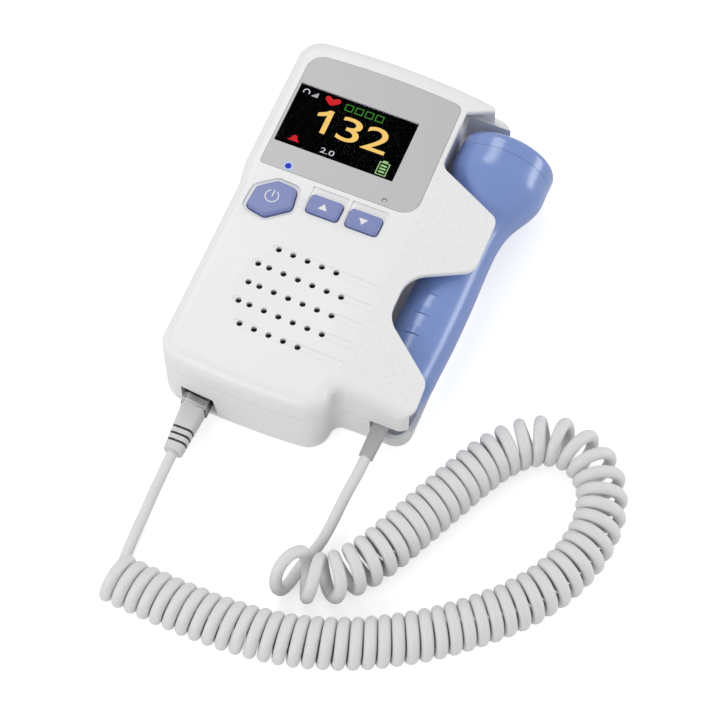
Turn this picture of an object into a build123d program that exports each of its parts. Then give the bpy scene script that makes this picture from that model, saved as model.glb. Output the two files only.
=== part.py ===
from build123d import *
import os
from math import asin, cos, degrees, pi, radians, tan

# Handheld fetal doppler monitor, lying on its back with the probe in its side dock.
# Millimetres. +Y runs towards the display end, +X towards the probe, +Z out of the keypad face.
# The origin is under the middle of the unit, on the surface that it lies on.

# ---- housing ----
BODY_LEFT = -52.5
BODY_HALF_LENGTH = 72.5
BODY_HEIGHT = 36.0
TOP_BOW_R = 290.0        # the display end bows out to this radius
TOP_BOW_X = -17.0        # with its crest here
END_BOW_R = 255.0        # and the jack end to this one
END_BOW_X = -16.0
WAIST_INSET = 1.6        # the left flank steps in below the display
WAIST_Y = BODY_HALF_LENGTH - 64.5
CORNER_R = 9.5
BUMP_RIGHT = 13.0        # right flank of the lower, jack-end bump
DOCK_END_Y = 13.5 - BODY_HALF_LENGTH    # outside of the dock's lower end wall
DOCK_TOP_Y = BODY_HALF_LENGTH - 6.1     # inside of the dock's upper end wall
RIM_Y = DOCK_TOP_Y - 8.7                # where the probe's face has its rim when docked
DOCK_RIGHT = 40.6        # right edge of the dock floor
TOP_WALL_RIGHT = 32.4    # right end of the dock's upper end wall
TOP_FACE_RIGHT = 24.6    # and of the keypad face over it
TOP_END_R = 3.4
WALL = 2.2
FLOOR = 2.0
FACE_THICKNESS = 2.0     # thickness of the keypad face
SEAM_Z = 25.0            # front and rear shells meet here round the body
DOCK_SEAM_Z = 16.4       # and here at the dock's lower end
SEAM_GAP = 0.2
FACE_EDGE_R = 5.0
BASE_EDGE_R = 2.5
WING_FLAT_X = 12.0       # the keypad face starts to fall away to the dock here
WING_BEND = 6.0
WING_FALL_TOP = 0.02     # fall per millimetre at the display end
WING_FALL_END = 0.335    # and at the jack end
WING_RIGHT = 41.3
WING_TIP = DOCK_END_Y + 16.0            # the lower wing's corner beside the grip notch
UPPER_WING_LOW = RIM_Y - 54.5           # the upper wing's corner beside it
NOTCH_X = 20.6
DOCK_WALL_X = 14.6       # dock side of the wall between the dock and the electronics
DOCK_WALL = 1.6
WING_EDGE_R = 0.7
SILL_HEIGHT = 0.9
SCOOP_DEPTH = 0.8        # the floor is lower under the probe's head
SCOOP_Y = RIM_Y - 33.7
DOCK_RIB_H = 0.85
LIP_HEIGHT = 5.6
LIP_WALL = 1.8
LEAD_SLOT_X = 26.6       # the end wall is open from here on for the probe's lead
CLEARANCE = 0.3

# ---- display ----
SCREEN_X = -22.3
SCREEN_Y = BODY_HALF_LENGTH - 35.6
SCREEN_W = 46.7
SCREEN_H = 26.3
OVERLAY_LEFT = -46.6
OVERLAY_RIGHT = 13.0
OVERLAY_TOP = BODY_HALF_LENGTH - 8.15
OVERLAY_BOTTOM = SCREEN_Y - 23.7
OVERLAY_T = 0.9
OVERLAY_BOW = 1.5
OVERLAY_R = 6.5
FIT = 0.15
LCD_BORDER = 3.0
LCD_T = 2.8
LED_X = -36.3
LED_Y = OVERLAY_BOTTOM + 2.2
LED_D = 2.1
SENSOR_X = 1.4
SENSOR_Y = OVERLAY_BOTTOM + 2.3
SENSOR_D = 1.7

# ---- keys ----
KEY_Y = OVERLAY_BOTTOM - 9.1
POWER_KEY = ((-43.4, -1.1), (-37.0, 3.8), (-29.2, 3.3), (-27.9, -5.0), (-36.0, -11.4), (-44.0, -9.9))
POWER_KEY_R = 2.2
KEY_W = 12.4
KEY_H = 7.6
KEY_X = (-17.2, -1.9)
KEY_R = 1.4
KEY_PROUD = 1.3
KEY_TRAVEL = 0.8
KEY_GAP = 0.35
KEY_FLANGE = 1.2
KEY_RECESS = 0.6
KEY_RECESS_MARGIN = 1.7
KEY_STEM_D = 3.0
SWITCH_SIZE = 6.0
SWITCH_H = 3.4

# ---- boards ----
PCB_T = 1.6
MAIN_BOARD_Z = 25.6
MAIN_BOARD_BOTTOM = KEY_Y - 13.6
IO_BOARD_Z = 2.6
FLEX_X = -38.2
FLEX_W = 4.6

# ---- speaker ----
SPEAKER_D = 40.0
SPEAKER_X = -15.1
SPEAKER_Y = MAIN_BOARD_BOTTOM - SPEAKER_D / 2 - 4.5
SPEAKER_DEPTH = 9.0
SPEAKER_MAGNET_D = 21.0
HOLE_D = 2.3
HOLE_PITCH_X = 5.65
HOLE_PITCH_Y = 8.1
HOLE_FIRST_GAP = 4.3     # the first hole of a long row stands closer
HOLE_COUNTS = (5, 7, 7, 7, 5)
GRILLE_TURN = -2.0       # the rows fall a little towards the dock
SLOT_DEPTH = 0.3
SLOT_RIGHT = 14.5
DISH_DEPTH = 0.6

# ---- sockets ----
PLUG_X = -34.5
PLUG_Z = 9.4
PLUG_W = 9.65            # standard six-position modular plug
PLUG_H = 6.6
PLUG_INSERT = 11.5
JACK_W = 13.2
JACK_H = 11.6
JACK_DEPTH = 12.4
JACK_RUNNING = 0.35
PORT_LEFT = 6.9          # the port reaches this far to the plug's left
PORT_RIGHT = 7.4
PORT_H = 9.8
PORT_LOW = 4.2
EARPHONE_Y = 20.5 - BODY_HALF_LENGTH
EARPHONE_R = 1.8
EARPHONE_DEPTH = 11.0
EARPHONE_W = 6.0
EARPHONE_H = 5.0
IO_BOARD_END_Y = EARPHONE_Y + EARPHONE_W / 2 + 3.4

# ---- power ----
CELL_D = 14.5
CELL_L = 50.5
CELL_COUNT = 3
CELL_GAP = 0.8
BAY_X = -16.5
BAY_CLEAR = 0.6
BAY_WALL = 1.2
SPRING_L = 5.0
CONTACT_T = 0.5
DOOR_T = 1.6
DOOR_MARGIN = 2.2        # ledge between the bay and the door's edge
BAY_LENGTH = CELL_L + SPRING_L + 2 * CONTACT_T + BAY_CLEAR
BAY_Y = IO_BOARD_END_Y + 0.65 + DOOR_MARGIN + BAY_WALL + BAY_LENGTH / 2
LEDGE_T = 1.6
DOOR_TAB_W = 6.0
DOOR_TAB_H = 3.0
LATCH_W = 12.0
LATCH_L = 14.0

# ---- fasteners ----
SCREW_D = 2.6
SCREW_HEAD_D = 4.8
SCREW_HEAD_H = 1.8
SCREW_FIT = 0.06
BOSS_D = 6.4
COUNTERBORE = 9.0
SCREW_SPOTS = ((-46.2, BODY_HALF_LENGTH - 9.3), (8.4, BODY_HALF_LENGTH - 10.9),
               (-46.2, 34.5 - BODY_HALF_LENGTH), (5.6, 10.5 - BODY_HALF_LENGTH))
BOARD_SCREW_SPOTS = ((-45.8, BODY_HALF_LENGTH - 15.7), (9.2, SCREEN_Y + 15.1),
                     (-46.0, OVERLAY_BOTTOM + 2.4), (9.0, KEY_Y - 8.6))
BOARD_SCREW_D = 2.0
BOARD_POST_D = 4.6

# ---- probe ----
HEAD_R = 18.2
GRIP_R = 11.7
NECK_R = 10.8
TAIL_R = 10.8
RIM_X = 34.4
RIM_S = 14.0             # distance from the rim line to the head's support
PROBE_TAIL_S = RIM_Y - DOCK_END_Y - 5.7
TAIL_S = PROBE_TAIL_S - 12.0            # and to the tail's support
PROBE_YAW = 1.94
DOCK_CLEAR = 0.3
TAIL_CLEAR = 1.4
PROBE_WALL = 1.8
FACE_BULGE = 4.2
CAP_SEAM_S = 6.2
RIDGE_S = 66.3           # each grip ridge rises gently towards the tail and ends in a step
RIDGE_PITCH = 8.35
RIDGE_COUNT = 3
RIDGE_TURN = -13.0       # the ridges sit this far left of the handle's crest
RIDGE_L = 3.2
RIDGE_R = 6.05
RIDGE_RISE = 0.55
DIMPLE_S = 10.8          # small locating dimple on the head
DIMPLE_TURN = -5.0
DIMPLE_R = 4.0
DIMPLE_DEPTH = 0.5
RELIEF_END_S = PROBE_TAIL_S + 18.0
RELIEF_W = 5.9
RELIEF_END_W = 5.3
RELIEF_H = 5.9
PROBE_TRAVEL = 45.0

# ---- cord ----
CORD_D = 4.1
COIL_D = 18.6
BOOT_START_Y = -BODY_HALF_LENGTH - 2.7
BOOT_LENGTH = 19.0
BOOT_W = 8.9
BOOT_H = 7.9
BOOT_END_D = 7.0
GROOVE_PITCH = 2.6
GROOVE_W = 0.85

TINY = 0.01
FAR = 200.0


# ---------------------------------------------------------------- helpers
def block(x0, x1, y0, y1, z0, z1):
    """Box between two corners."""
    return Pos((x0 + x1) / 2, (y0 + y1) / 2, (z0 + z1) / 2) * Box(x1 - x0, y1 - y0, z1 - z0)


def rod(x, y, z0, z1, diameter):
    """Upright cylinder."""
    return Pos(x, y, (z0 + z1) / 2) * Cylinder(diameter / 2, z1 - z0)


def prism(face, z0, z1):
    """Face drawn at z=0, extruded between two heights."""
    return extrude(Pos(0, 0, z0) * face, amount=z1 - z0)


def across(x, y, z):
    """Plane across the unit's length, facing the jack end, with its x along +X."""
    return Plane(origin=(x, y, z), x_dir=(1, 0, 0), z_dir=(0, -1, 0))


def round_corners(plan, corners):
    """Round the plan corners nearest to the given (x, y, radius)."""
    face = plan.face()
    for x, y, radius in corners:
        corner = face.vertices().sort_by_distance((x, y, 0))[0]
        face = face.fillet_2d(radius, [corner])
    return face


def rounded_rectangle(x, y, width, height, radius):
    """Plan rectangle with round corners."""
    return Pos(x, y) * RectangleRounded(width, height, radius)


def save(name, shape):
    """Write one named sub-part."""
    export_step(shape, "parts/" + name + ".step")


def group(solids):
    """Several separate solids as one sub-part."""
    return Compound(children=[piece.solid() for piece in solids])


# ---------------------------------------------------------------- housing outlines
def body_plan(right, inset=0.0):
    """Plan of the unit: bowed ends, a waist on the left and the dock's step at the lower right."""
    left = BODY_LEFT + inset
    top = BODY_HALF_LENGTH - inset
    bump = BUMP_RIGHT - inset
    dock_end = DOCK_END_Y + inset
    waist = left + WAIST_INSET
    corner = CORNER_R - inset
    top_arc = ThreePointArc((left, top - bow(left)), (TOP_BOW_X, top), (right, top - bow(right)))
    end_left = end_bow(waist) - top
    end_right = end_bow(bump) - top
    end_arc = ThreePointArc((bump, end_right), (END_BOW_X, -top), (waist, end_left))
    outline = [
        top_arc,
        Line(top_arc @ 1, (right, dock_end)),
        Line((right, dock_end), (bump, dock_end)),
        Line((bump, dock_end), end_arc @ 0),
        end_arc,
        Line(end_arc @ 1, (waist, WAIST_Y - 5)),
        Line((waist, WAIST_Y - 5), (left, WAIST_Y + 5)),
        Line((left, WAIST_Y + 5), top_arc @ 0),
    ]
    return round_corners(make_face(outline), [
        (left, top - bow(left), corner),
        (bump, dock_end, 4.0 + inset),
        (bump, end_right, 8.5 - inset),
        (waist, end_left, corner),
        (waist, WAIST_Y - 5, 14.0),
        (left, WAIST_Y + 5, 14.0),
    ])


def bow(x):
    """How far the display end has fallen back from its crest."""
    return (x - TOP_BOW_X) ** 2 / (2 * TOP_BOW_R)


def end_bow(x):
    """The same at the jack end."""
    return (x - END_BOW_X) ** 2 / (2 * END_BOW_R)


def form_section(y, fall):
    """Cross section under the keypad face: flat, then falling away to the dock."""
    bend = WING_FLAT_X + WING_BEND
    edge = DOCK_RIGHT + 30
    crest = Bezier(
        (WING_FLAT_X, y, BODY_HEIGHT),
        (bend, y, BODY_HEIGHT),
        (bend + WING_BEND, y, BODY_HEIGHT - WING_BEND * fall),
        (edge, y, BODY_HEIGHT - (edge - bend) * fall),
    )
    low = -FAR / 4
    sides = Polyline(crest @ 1, (edge, y, low), (-FAR / 2, y, low), (-FAR / 2, y, BODY_HEIGHT), crest @ 0)
    return make_face([crest, *sides.edges()])


def face_form(drop=0.0):
    """Solid under the keypad face, lowered by drop."""
    ends = [
        form_section(BODY_HALF_LENGTH + 5, WING_FALL_TOP),
        form_section(-BODY_HALF_LENGTH - 5, WING_FALL_END),
    ]
    return Pos(0, 0, -drop) * loft(ends, ruled=True)


def dock_edge():
    """Plan of the opening that shows the probe: the head's bay, then the grip notch."""
    right = DOCK_RIGHT + 40
    low = DOCK_END_Y - 20
    corner_y = DOCK_END_Y - 0.3
    high = BODY_HALF_LENGTH + 20
    notch = UPPER_WING_LOW - WING_TIP
    points = [
        ((TOP_FACE_RIGHT, high), 0), ((TOP_FACE_RIGHT, DOCK_TOP_Y - 0.2), 1.2),
        ((15.2, DOCK_TOP_Y - 5), 1.0), ((15.4, RIM_Y - 20.8), 4.5),
        ((WING_RIGHT, RIM_Y - 32.1), 3.6), ((WING_RIGHT, UPPER_WING_LOW), 7.0),
        ((NOTCH_X, UPPER_WING_LOW - 0.273 * notch), 0.26 * notch),
        ((NOTCH_X, UPPER_WING_LOW - 0.658 * notch), 0.216 * notch),
        ((WING_RIGHT + 0.3, WING_TIP), 5.0), ((WING_RIGHT + 0.9, corner_y), 6.5), ((30, corner_y), 0),
        ((30, low), 0), ((right, low), 0), ((right, high), 0),
    ]
    corners = [point for point, radius in points]
    radii = [radius for point, radius in points]
    return make_face(FilletPolyline(*corners, radius=radii, close=True))


# ---------------------------------------------------------------- keypad face features
def key_plan(x, width=KEY_W, height=KEY_H, radius=KEY_R):
    """Plan of an arrow key."""
    return rounded_rectangle(x, KEY_Y, width, height, radius)


def power_plan(grow=0.0):
    """Plan of the power key, an uneven rounded hexagon."""
    corners = [(x, KEY_Y + y) for x, y in POWER_KEY]
    face = make_face(FilletPolyline(*corners, radius=[POWER_KEY_R] * len(corners), close=True))
    return offset(face, grow) if grow else face


def key_plans(grow=0.0):
    """Plans of the three keys, grown by a gap."""
    arrows = [key_plan(x, KEY_W + 2 * grow, KEY_H + 2 * grow, KEY_R + grow) for x in KEY_X]
    return [power_plan(grow), *arrows]


def overlay_plan(grow=0.0):
    """Plan of the grey display overlay."""
    left, right = OVERLAY_LEFT - grow, OVERLAY_RIGHT + grow
    top, bottom = OVERLAY_TOP + grow, OVERLAY_BOTTOM - grow
    low = top - OVERLAY_BOW
    arc = ThreePointArc((left, low), ((left + right) / 2, top), (right, low))
    outline = [arc, *Polyline(arc @ 1, (right + 0.9, bottom), (left, bottom), arc @ 0).edges()]
    return round_corners(make_face(outline), [
        (left, low, OVERLAY_R + grow),
        (right, low, OVERLAY_R / 2 + grow),
        (right + 0.9, bottom, OVERLAY_R + grow),
        (left, bottom, 1.2 + grow),
    ])


def speaker_rows():
    """Speaker holes row by row, from the speaker's middle and before the pattern is turned."""
    middle = (len(HOLE_COUNTS) - 1) / 2
    rows = []
    for row, count in enumerate(HOLE_COUNTS):
        across_row = [(column - (count - 1) / 2) * HOLE_PITCH_X for column in range(count)]
        if count > HOLE_COUNTS[0]:
            across_row[0] = across_row[1] - HOLE_FIRST_GAP
        rows.append(((middle - row) * HOLE_PITCH_Y, across_row))
    return rows


def grille_cutters():
    """Dish, shallow slots and holes of the speaker grille."""
    dish_r = SPEAKER_D / 2
    sphere_r = (dish_r ** 2 + DISH_DEPTH ** 2) / (2 * DISH_DEPTH)
    middle = Pos(SPEAKER_X, SPEAKER_Y, 0) * Rot(0, 0, GRILLE_TURN)
    under = BODY_HEIGHT - 2 * FACE_THICKNESS
    cutters = [Pos(SPEAKER_X, SPEAKER_Y, BODY_HEIGHT + sphere_r - DISH_DEPTH) * Sphere(sphere_r)]
    for y, across_row in speaker_rows():
        left = across_row[0] - HOLE_D
        right = SLOT_RIGHT - SPEAKER_X
        slot = Pos((left + right) / 2, y) * SlotOverall(right - left, HOLE_D + 0.5)
        cutters.append(middle * prism(slot, BODY_HEIGHT - SLOT_DEPTH, BODY_HEIGHT + 1))
        cutters += [middle * rod(x, y, under, BODY_HEIGHT, HOLE_D) for x in across_row]
    return cutters


def key_cutters():
    """Key holes, with a ring round the power key and a sloping recess round each arrow key."""
    cutters = [prism(plan, BODY_HEIGHT - 2 * FACE_THICKNESS, BODY_HEIGHT + 1) for plan in key_plans(KEY_GAP)]
    cutters.append(prism(power_plan(KEY_RECESS_MARGIN), BODY_HEIGHT - KEY_RECESS, BODY_HEIGHT + 1))
    high = KEY_Y + KEY_H / 2 + 2 * KEY_RECESS_MARGIN
    low = KEY_Y - KEY_H / 2 - KEY_RECESS_MARGIN
    for x in KEY_X:
        half = KEY_W / 2 + KEY_RECESS_MARGIN / 2
        deep = BODY_HEIGHT - KEY_RECESS
        above = BODY_HEIGHT + 1
        corners = ((0, low, BODY_HEIGHT), (0, high, deep), (0, high, above), (0, low, above))
        wedge = Polyline(*corners, close=True)
        cutters.append(Pos(x - half, 0, 0) * extrude(make_face(wedge), amount=2 * half, dir=(1, 0, 0)))
    return cutters


def display_cutters():
    """Overlay pocket, and the openings for the screen, the light and the sensor."""
    pocket_z = BODY_HEIGHT - OVERLAY_T
    through = BODY_HEIGHT - 2 * FACE_THICKNESS
    window = rounded_rectangle(SCREEN_X, SCREEN_Y, SCREEN_W + 1, SCREEN_H + 1, 0.8)
    return [
        prism(overlay_plan(FIT), pocket_z, BODY_HEIGHT + 1),
        prism(window, through, BODY_HEIGHT),
        rod(LED_X, LED_Y, through, BODY_HEIGHT, LED_D + 2 * FIT),
        rod(SENSOR_X, SENSOR_Y, through, BODY_HEIGHT, SENSOR_D + 2 * FIT),
    ]


# ---------------------------------------------------------------- shells
def front_housing():
    """Keypad shell: face, skirt down to the seam and the wings that cover the dock."""
    wide = DOCK_RIGHT + 20
    outer = prism(body_plan(wide), DOCK_SEAM_Z + SEAM_GAP, BODY_HEIGHT + 5) & face_form()
    rim = outer.edges().filter_by(lambda e: e.center().Z > DOCK_SEAM_Z + 6 and e.center().X < wide - 1)
    rim = rim.filter_by(lambda e: abs((e @ 0).Z - (e @ 1).Z) < 12 and e.bounding_box().size.Z < 12)
    rim = rim.filter_by(lambda e: not seam_between_faces(e))
    outer = fillet(rim, FACE_EDGE_R)
    inner = prism(body_plan(wide + 10, WALL), 0, BODY_HEIGHT + 5) & face_form(FACE_THICKNESS)
    shell = outer - inner
    shell -= block(-FAR, DOCK_WALL_X - DOCK_WALL, -FAR, FAR, 0, SEAM_Z + SEAM_GAP)
    shell -= block(-FAR, FAR, DOCK_END_Y + 12, FAR, 0, SEAM_Z + SEAM_GAP)
    shell -= prism(dock_edge(), 0, BODY_HEIGHT + 5)
    shell = fillet(wing_edges(shell), WING_EDGE_R) - top_end_corner()
    for x, y in SCREW_SPOTS:
        shell += rod(x, y, SEAM_Z + SEAM_GAP, BODY_HEIGHT - FACE_THICKNESS / 2, BOSS_D)
    for x, y in BOARD_SCREW_SPOTS:
        shell += rod(x, y, board_top(), BODY_HEIGHT - FACE_THICKNESS / 2, BOARD_POST_D)
    for cutter in [*display_cutters(), *key_cutters(), *grille_cutters()]:
        shell -= cutter
    for x, y in SCREW_SPOTS:
        shell -= rod(x, y, 0, BODY_HEIGHT - 2 * FACE_THICKNESS, SCREW_D + 2 * SCREW_FIT)
    for x, y in BOARD_SCREW_SPOTS:
        shell -= rod(x, y, 0, BODY_HEIGHT - 2 * FACE_THICKNESS, BOARD_SCREW_D + 2 * SCREW_FIT)
    return shell


def top_end_corner():
    """What rounds the end of the face over the dock's upper wall."""
    left = TOP_FACE_RIGHT - TOP_END_R
    low = BODY_HALF_LENGTH - bow(TOP_FACE_RIGHT) - TOP_END_R
    waste = block(left, TOP_FACE_RIGHT + 1, low, low + 2 * TOP_END_R, SEAM_Z, BODY_HEIGHT + 1)
    return waste - rod(left, low, SEAM_Z, BODY_HEIGHT + 1, 2 * TOP_END_R)


def wing_edges(shell):
    """Upper edges of the dock's opening."""
    tops = shell.faces().filter_by(lambda face: face.normal_at().Z > 0.5)
    walls = shell.faces().filter_by(lambda face: abs(face.normal_at().Z) < 0.05)
    sides = walls.edges()
    return tops.edges().filter_by(lambda edge: any(edge.is_same(side) for side in sides))


def seam_between_faces(edge):
    """True for the straight line where the flat face starts to fall away."""
    start, end = edge @ 0, edge @ 1
    return abs(start.X - WING_FLAT_X) < TINY and abs(end.X - WING_FLAT_X) < TINY


def rear_plan(inset=0.0):
    """Plan of the rear shell: the body, with the dock floor's right edge."""
    plan = body_plan(DOCK_RIGHT + 20, inset)
    right = DOCK_RIGHT - inset
    narrow = TOP_WALL_RIGHT - inset
    corners = [(narrow, BODY_HALF_LENGTH + 20), (narrow, RIM_Y - 27.7), (right, RIM_Y - 51.7),
               (right, DOCK_END_Y + inset - 20),
               (right + 60, DOCK_END_Y - 20), (right + 60, BODY_HALF_LENGTH + 20)]
    waste = make_face(FilletPolyline(*corners, radius=[0, 20, 20, 0, 0, 0], close=True))
    plan = (plan - waste).face()
    end_y = DOCK_END_Y + inset
    top_y = BODY_HALF_LENGTH - inset - bow(narrow)
    return round_corners(plan, [(narrow, top_y, 7.0 - inset), (right, end_y, 6.5 - inset)])


def rear_housing():
    """Deep rear tray with the dock, the battery bay and the screw bosses."""
    shell = prism(rear_plan(), 0, SEAM_Z)
    shell = fillet(shell.faces().sort_by(Axis.Z)[0].edges(), BASE_EDGE_R)
    room = prism(rear_plan(WALL), FLOOR, SEAM_Z + 1)
    shell -= room & block(-FAR, DOCK_WALL_X - DOCK_WALL, -FAR, FAR, 0, SEAM_Z + 1)
    dock_right = DOCK_RIGHT - LIP_WALL
    dock = prism(rear_plan(LIP_WALL), FLOOR, SEAM_Z + 1) & block(DOCK_WALL_X, FAR, -FAR, DOCK_TOP_Y, 0, FAR)
    shell -= dock
    sill = FLOOR + SILL_HEIGHT
    shell -= block(TOP_WALL_RIGHT - 8, FAR, DOCK_END_Y + 15, DOCK_TOP_Y, sill, FAR)
    shell -= block(LEAD_SLOT_X, FAR, DOCK_END_Y - 1, DOCK_END_Y + 24, FLOOR + LIP_HEIGHT, FAR)
    lip_start, ramp_end = DOCK_END_Y + 5.5, DOCK_END_Y + 13
    onward = ramp_end + 6
    ramp = Polyline((0, lip_start, FLOOR + LIP_HEIGHT), (0, ramp_end, sill), (0, onward, sill),
                    (0, onward, FAR / 4), (0, lip_start, FAR / 4), close=True)
    shell -= Pos(dock_right - 3, 0, 0) * extrude(make_face(ramp), amount=20, dir=(1, 0, 0))
    inside_x = DOCK_WALL_X - DOCK_WALL
    inside_y = DOCK_END_Y + WALL + SEAM_GAP
    shell -= block(inside_x - SEAM_GAP, FAR, DOCK_END_Y - 4, inside_y, DOCK_SEAM_Z, FAR)
    shell -= block(DOCK_WALL_X, FAR, SCOOP_Y, DOCK_TOP_Y, FLOOR - SCOOP_DEPTH, FAR)
    wall_top = BODY_HEIGHT - FACE_THICKNESS - 2 * CLEARANCE
    shell += block(inside_x, DOCK_WALL_X, DOCK_END_Y + 1, inside_y, FLOOR - 1, DOCK_SEAM_Z)
    shell += block(inside_x, DOCK_WALL_X, inside_y, DOCK_TOP_Y + 1, FLOOR - 1, SEAM_Z)
    shell += block(inside_x, DOCK_WALL_X, inside_y, DOCK_TOP_Y - 6, SEAM_Z - 1, wall_top)
    for y in (DOCK_END_Y + 21, DOCK_END_Y + 31):
        shell += block(DOCK_WALL_X - 1, dock_right, y - 0.8, y + 0.8, FLOOR - 1, FLOOR + DOCK_RIB_H)
    shell += bay_walls()
    for x, y in SCREW_SPOTS:
        shell += rod(x, y, FLOOR / 2, SEAM_Z, BOSS_D)
    shell -= bay_cutter()
    for x, y in SCREW_SPOTS:
        shell -= rod(x, y, -1, SEAM_Z + 1, SCREW_D + 2 * SCREW_FIT)
        shell -= rod(x, y, -1, COUNTERBORE, SCREW_HEAD_D + 0.4)
    port_top = PORT_LOW + PORT_H
    port_x0 = PLUG_X - PORT_LEFT
    port_x1 = PLUG_X + PORT_RIGHT
    port = Polyline((port_x0, 0, port_top), (port_x1 - 1.5, 0, port_top), (port_x1, 0, PORT_LOW),
                    (port_x0, 0, PORT_LOW), close=True)
    shell -= Pos(0, -BODY_HALF_LENGTH - 5, 0) * extrude(make_face(port), amount=5 + 2 * WALL, dir=(0, 1, 0))
    earphone = Pos(BODY_LEFT + 2, EARPHONE_Y, earphone_z()) * Rot(0, 90, 0) * Cylinder(EARPHONE_R + 1.4, 10)
    return shell - earphone


# ---------------------------------------------------------------- battery bay
def bay_size():
    """Width and length of the battery bay's inside."""
    width = CELL_COUNT * CELL_D + (CELL_COUNT - 1) * CELL_GAP + 2 * BAY_CLEAR
    return width, BAY_LENGTH


def cell_z():
    """Height of the cells' axes above the door."""
    return DOOR_T + BAY_CLEAR + CELL_D / 2


def bay_roof():
    """Underside of the bay's roof."""
    return cell_z() + CELL_D / 2 + BAY_CLEAR


def bay_walls():
    """Box round the cells, closed on top, on the thicker floor that carries the door's ledge."""
    width, length = bay_size()
    pad = 2 * (DOOR_MARGIN + BAY_WALL)
    box = rounded_prism(width + 2 * BAY_WALL, length + 2 * BAY_WALL, FLOOR - 1, bay_roof() + BAY_WALL)
    return box + rounded_prism(width + pad, length + pad, FLOOR - 1, DOOR_T + LEDGE_T)


def rounded_prism(width, length, z0, z1):
    """Upright block with round corners, centred on the battery bay."""
    return prism(rounded_rectangle(BAY_X, BAY_Y, width, length, 1.0), z0, z1)


def bay_cutter():
    """The bay's inside, and the seat and latch notch of its door."""
    width, length = bay_size()
    inside = rounded_prism(width, length, -1, bay_roof())
    seat = rounded_prism(width + 2 * DOOR_MARGIN, length + 2 * DOOR_MARGIN, -1, DOOR_T)
    return inside + seat


def battery_door():
    """Lift-off door with two locating tabs, a springy latch tongue and finger ribs."""
    width, length = bay_size()
    gap = 2 * KEY_GAP
    door = rounded_prism(width + 2 * DOOR_MARGIN - gap, length + 2 * DOOR_MARGIN - gap, 0, DOOR_T - FIT)
    high = BAY_Y + length / 2 - KEY_GAP
    for side in (-1, 1):
        x = BAY_X + side * width / 4
        half = DOOR_TAB_W / 2
        door += block(x - half, x + half, high - 1.2, high, DOOR_T / 2, DOOR_T + DOOR_TAB_H)
    low = BAY_Y - length / 2 - DOOR_MARGIN
    for side in (-1, 1):
        x = BAY_X + side * (LATCH_W / 2 + 0.5)
        door -= block(x - 0.5, x + 0.5, low - 1, low + LATCH_L, -1, DOOR_T)
    for rib in range(5):
        y = low + 3 + 1.6 * rib
        door -= block(BAY_X - LATCH_W / 2 + 1, BAY_X + LATCH_W / 2 - 1, y, y + 0.8, -1, 0.5)
    return door


def cell_axes():
    """X of each cell's axis."""
    pitch = CELL_D + CELL_GAP
    return [BAY_X + (index - (CELL_COUNT - 1) / 2) * pitch for index in range(CELL_COUNT)]


def cell_spans():
    """Each cell's X, and which way it points: neighbours are turned end for end."""
    return [(x, 1 if index % 2 == 0 else -1) for index, x in enumerate(cell_axes())]


def battery_cells():
    """AA cells, each with its positive nub."""
    nub = 1.4
    cells = []
    for x, way in cell_spans():
        middle = BAY_Y + way * (SPRING_L / 2)
        can = Pos(x, middle - way * nub / 2, cell_z()) * Rot(90, 0, 0) * Cylinder(CELL_D / 2, CELL_L - nub)
        tip = Pos(x, middle + way * (CELL_L - nub) / 2, cell_z()) * Rot(90, 0, 0) * Cylinder(2.7, nub)
        cells.append(can + tip)
    return group(cells)


def battery_contacts():
    """Spring steel plates on both end walls of the bay."""
    width, length = bay_size()
    plates = []
    for side in (-1, 1):
        wall_y = BAY_Y + side * (length / 2 - CONTACT_T / 2)
        for x in cell_axes():
            plates.append(Pos(x, wall_y, cell_z()) * Box(CELL_D * 0.7, CONTACT_T, CELL_D * 0.6))
    return group(plates)


def battery_springs():
    """Conical coil springs on the negative ends."""
    wire_r = 0.35
    springs = []
    width, length = bay_size()
    for x, way in cell_spans():
        base = BAY_Y - way * (length / 2 - CONTACT_T - wire_r - FIT)
        height = SPRING_L - 2 * wire_r - 2 * FIT - 0.3
        coil = Helix(pitch=height / 3, height=height, radius=3.6, cone_angle=-12)
        wire = sweep(Plane(origin=coil @ 0, z_dir=coil % 0) * Circle(wire_r), path=coil)
        springs.append(Pos(x, base, cell_z()) * Rot(-90 * way, 0, 0) * wire)
    return group(springs)


# ---------------------------------------------------------------- display and keys
def display_overlay():
    """Grey printed overlay with its screen window and two small holes."""
    sheet = prism(overlay_plan(), BODY_HEIGHT - OVERLAY_T + TINY, BODY_HEIGHT)
    window = rounded_rectangle(SCREEN_X, SCREEN_Y, SCREEN_W, SCREEN_H, 0.3)
    sheet -= prism(window, 0, FAR)
    sheet -= rod(LED_X, LED_Y, 0, FAR, LED_D + 2 * FIT)
    return sheet - rod(SENSOR_X, SENSOR_Y, 0, FAR, SENSOR_D + 2 * FIT)


def display_lens():
    """Clear pane over the screen, level with the overlay."""
    pane = rounded_rectangle(SCREEN_X, SCREEN_Y, SCREEN_W - 2 * FIT / 3, SCREEN_H - 2 * FIT / 3, 0.25)
    return prism(pane, BODY_HEIGHT - OVERLAY_T, BODY_HEIGHT - 0.08)


def lcd_module():
    """Screen module in its metal frame, under the face."""
    top = BODY_HEIGHT - FACE_THICKNESS - 0.1
    frame = rounded_rectangle(SCREEN_X, SCREEN_Y, SCREEN_W + 2 * LCD_BORDER, SCREEN_H + 2 * LCD_BORDER, 1.0)
    glass = rounded_rectangle(SCREEN_X, SCREEN_Y, SCREEN_W + 0.6, SCREEN_H + 0.6, 0.5)
    return prism(frame, top - LCD_T, top) + prism(glass, top - 0.5, BODY_HEIGHT - OVERLAY_T - 0.1)


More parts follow.
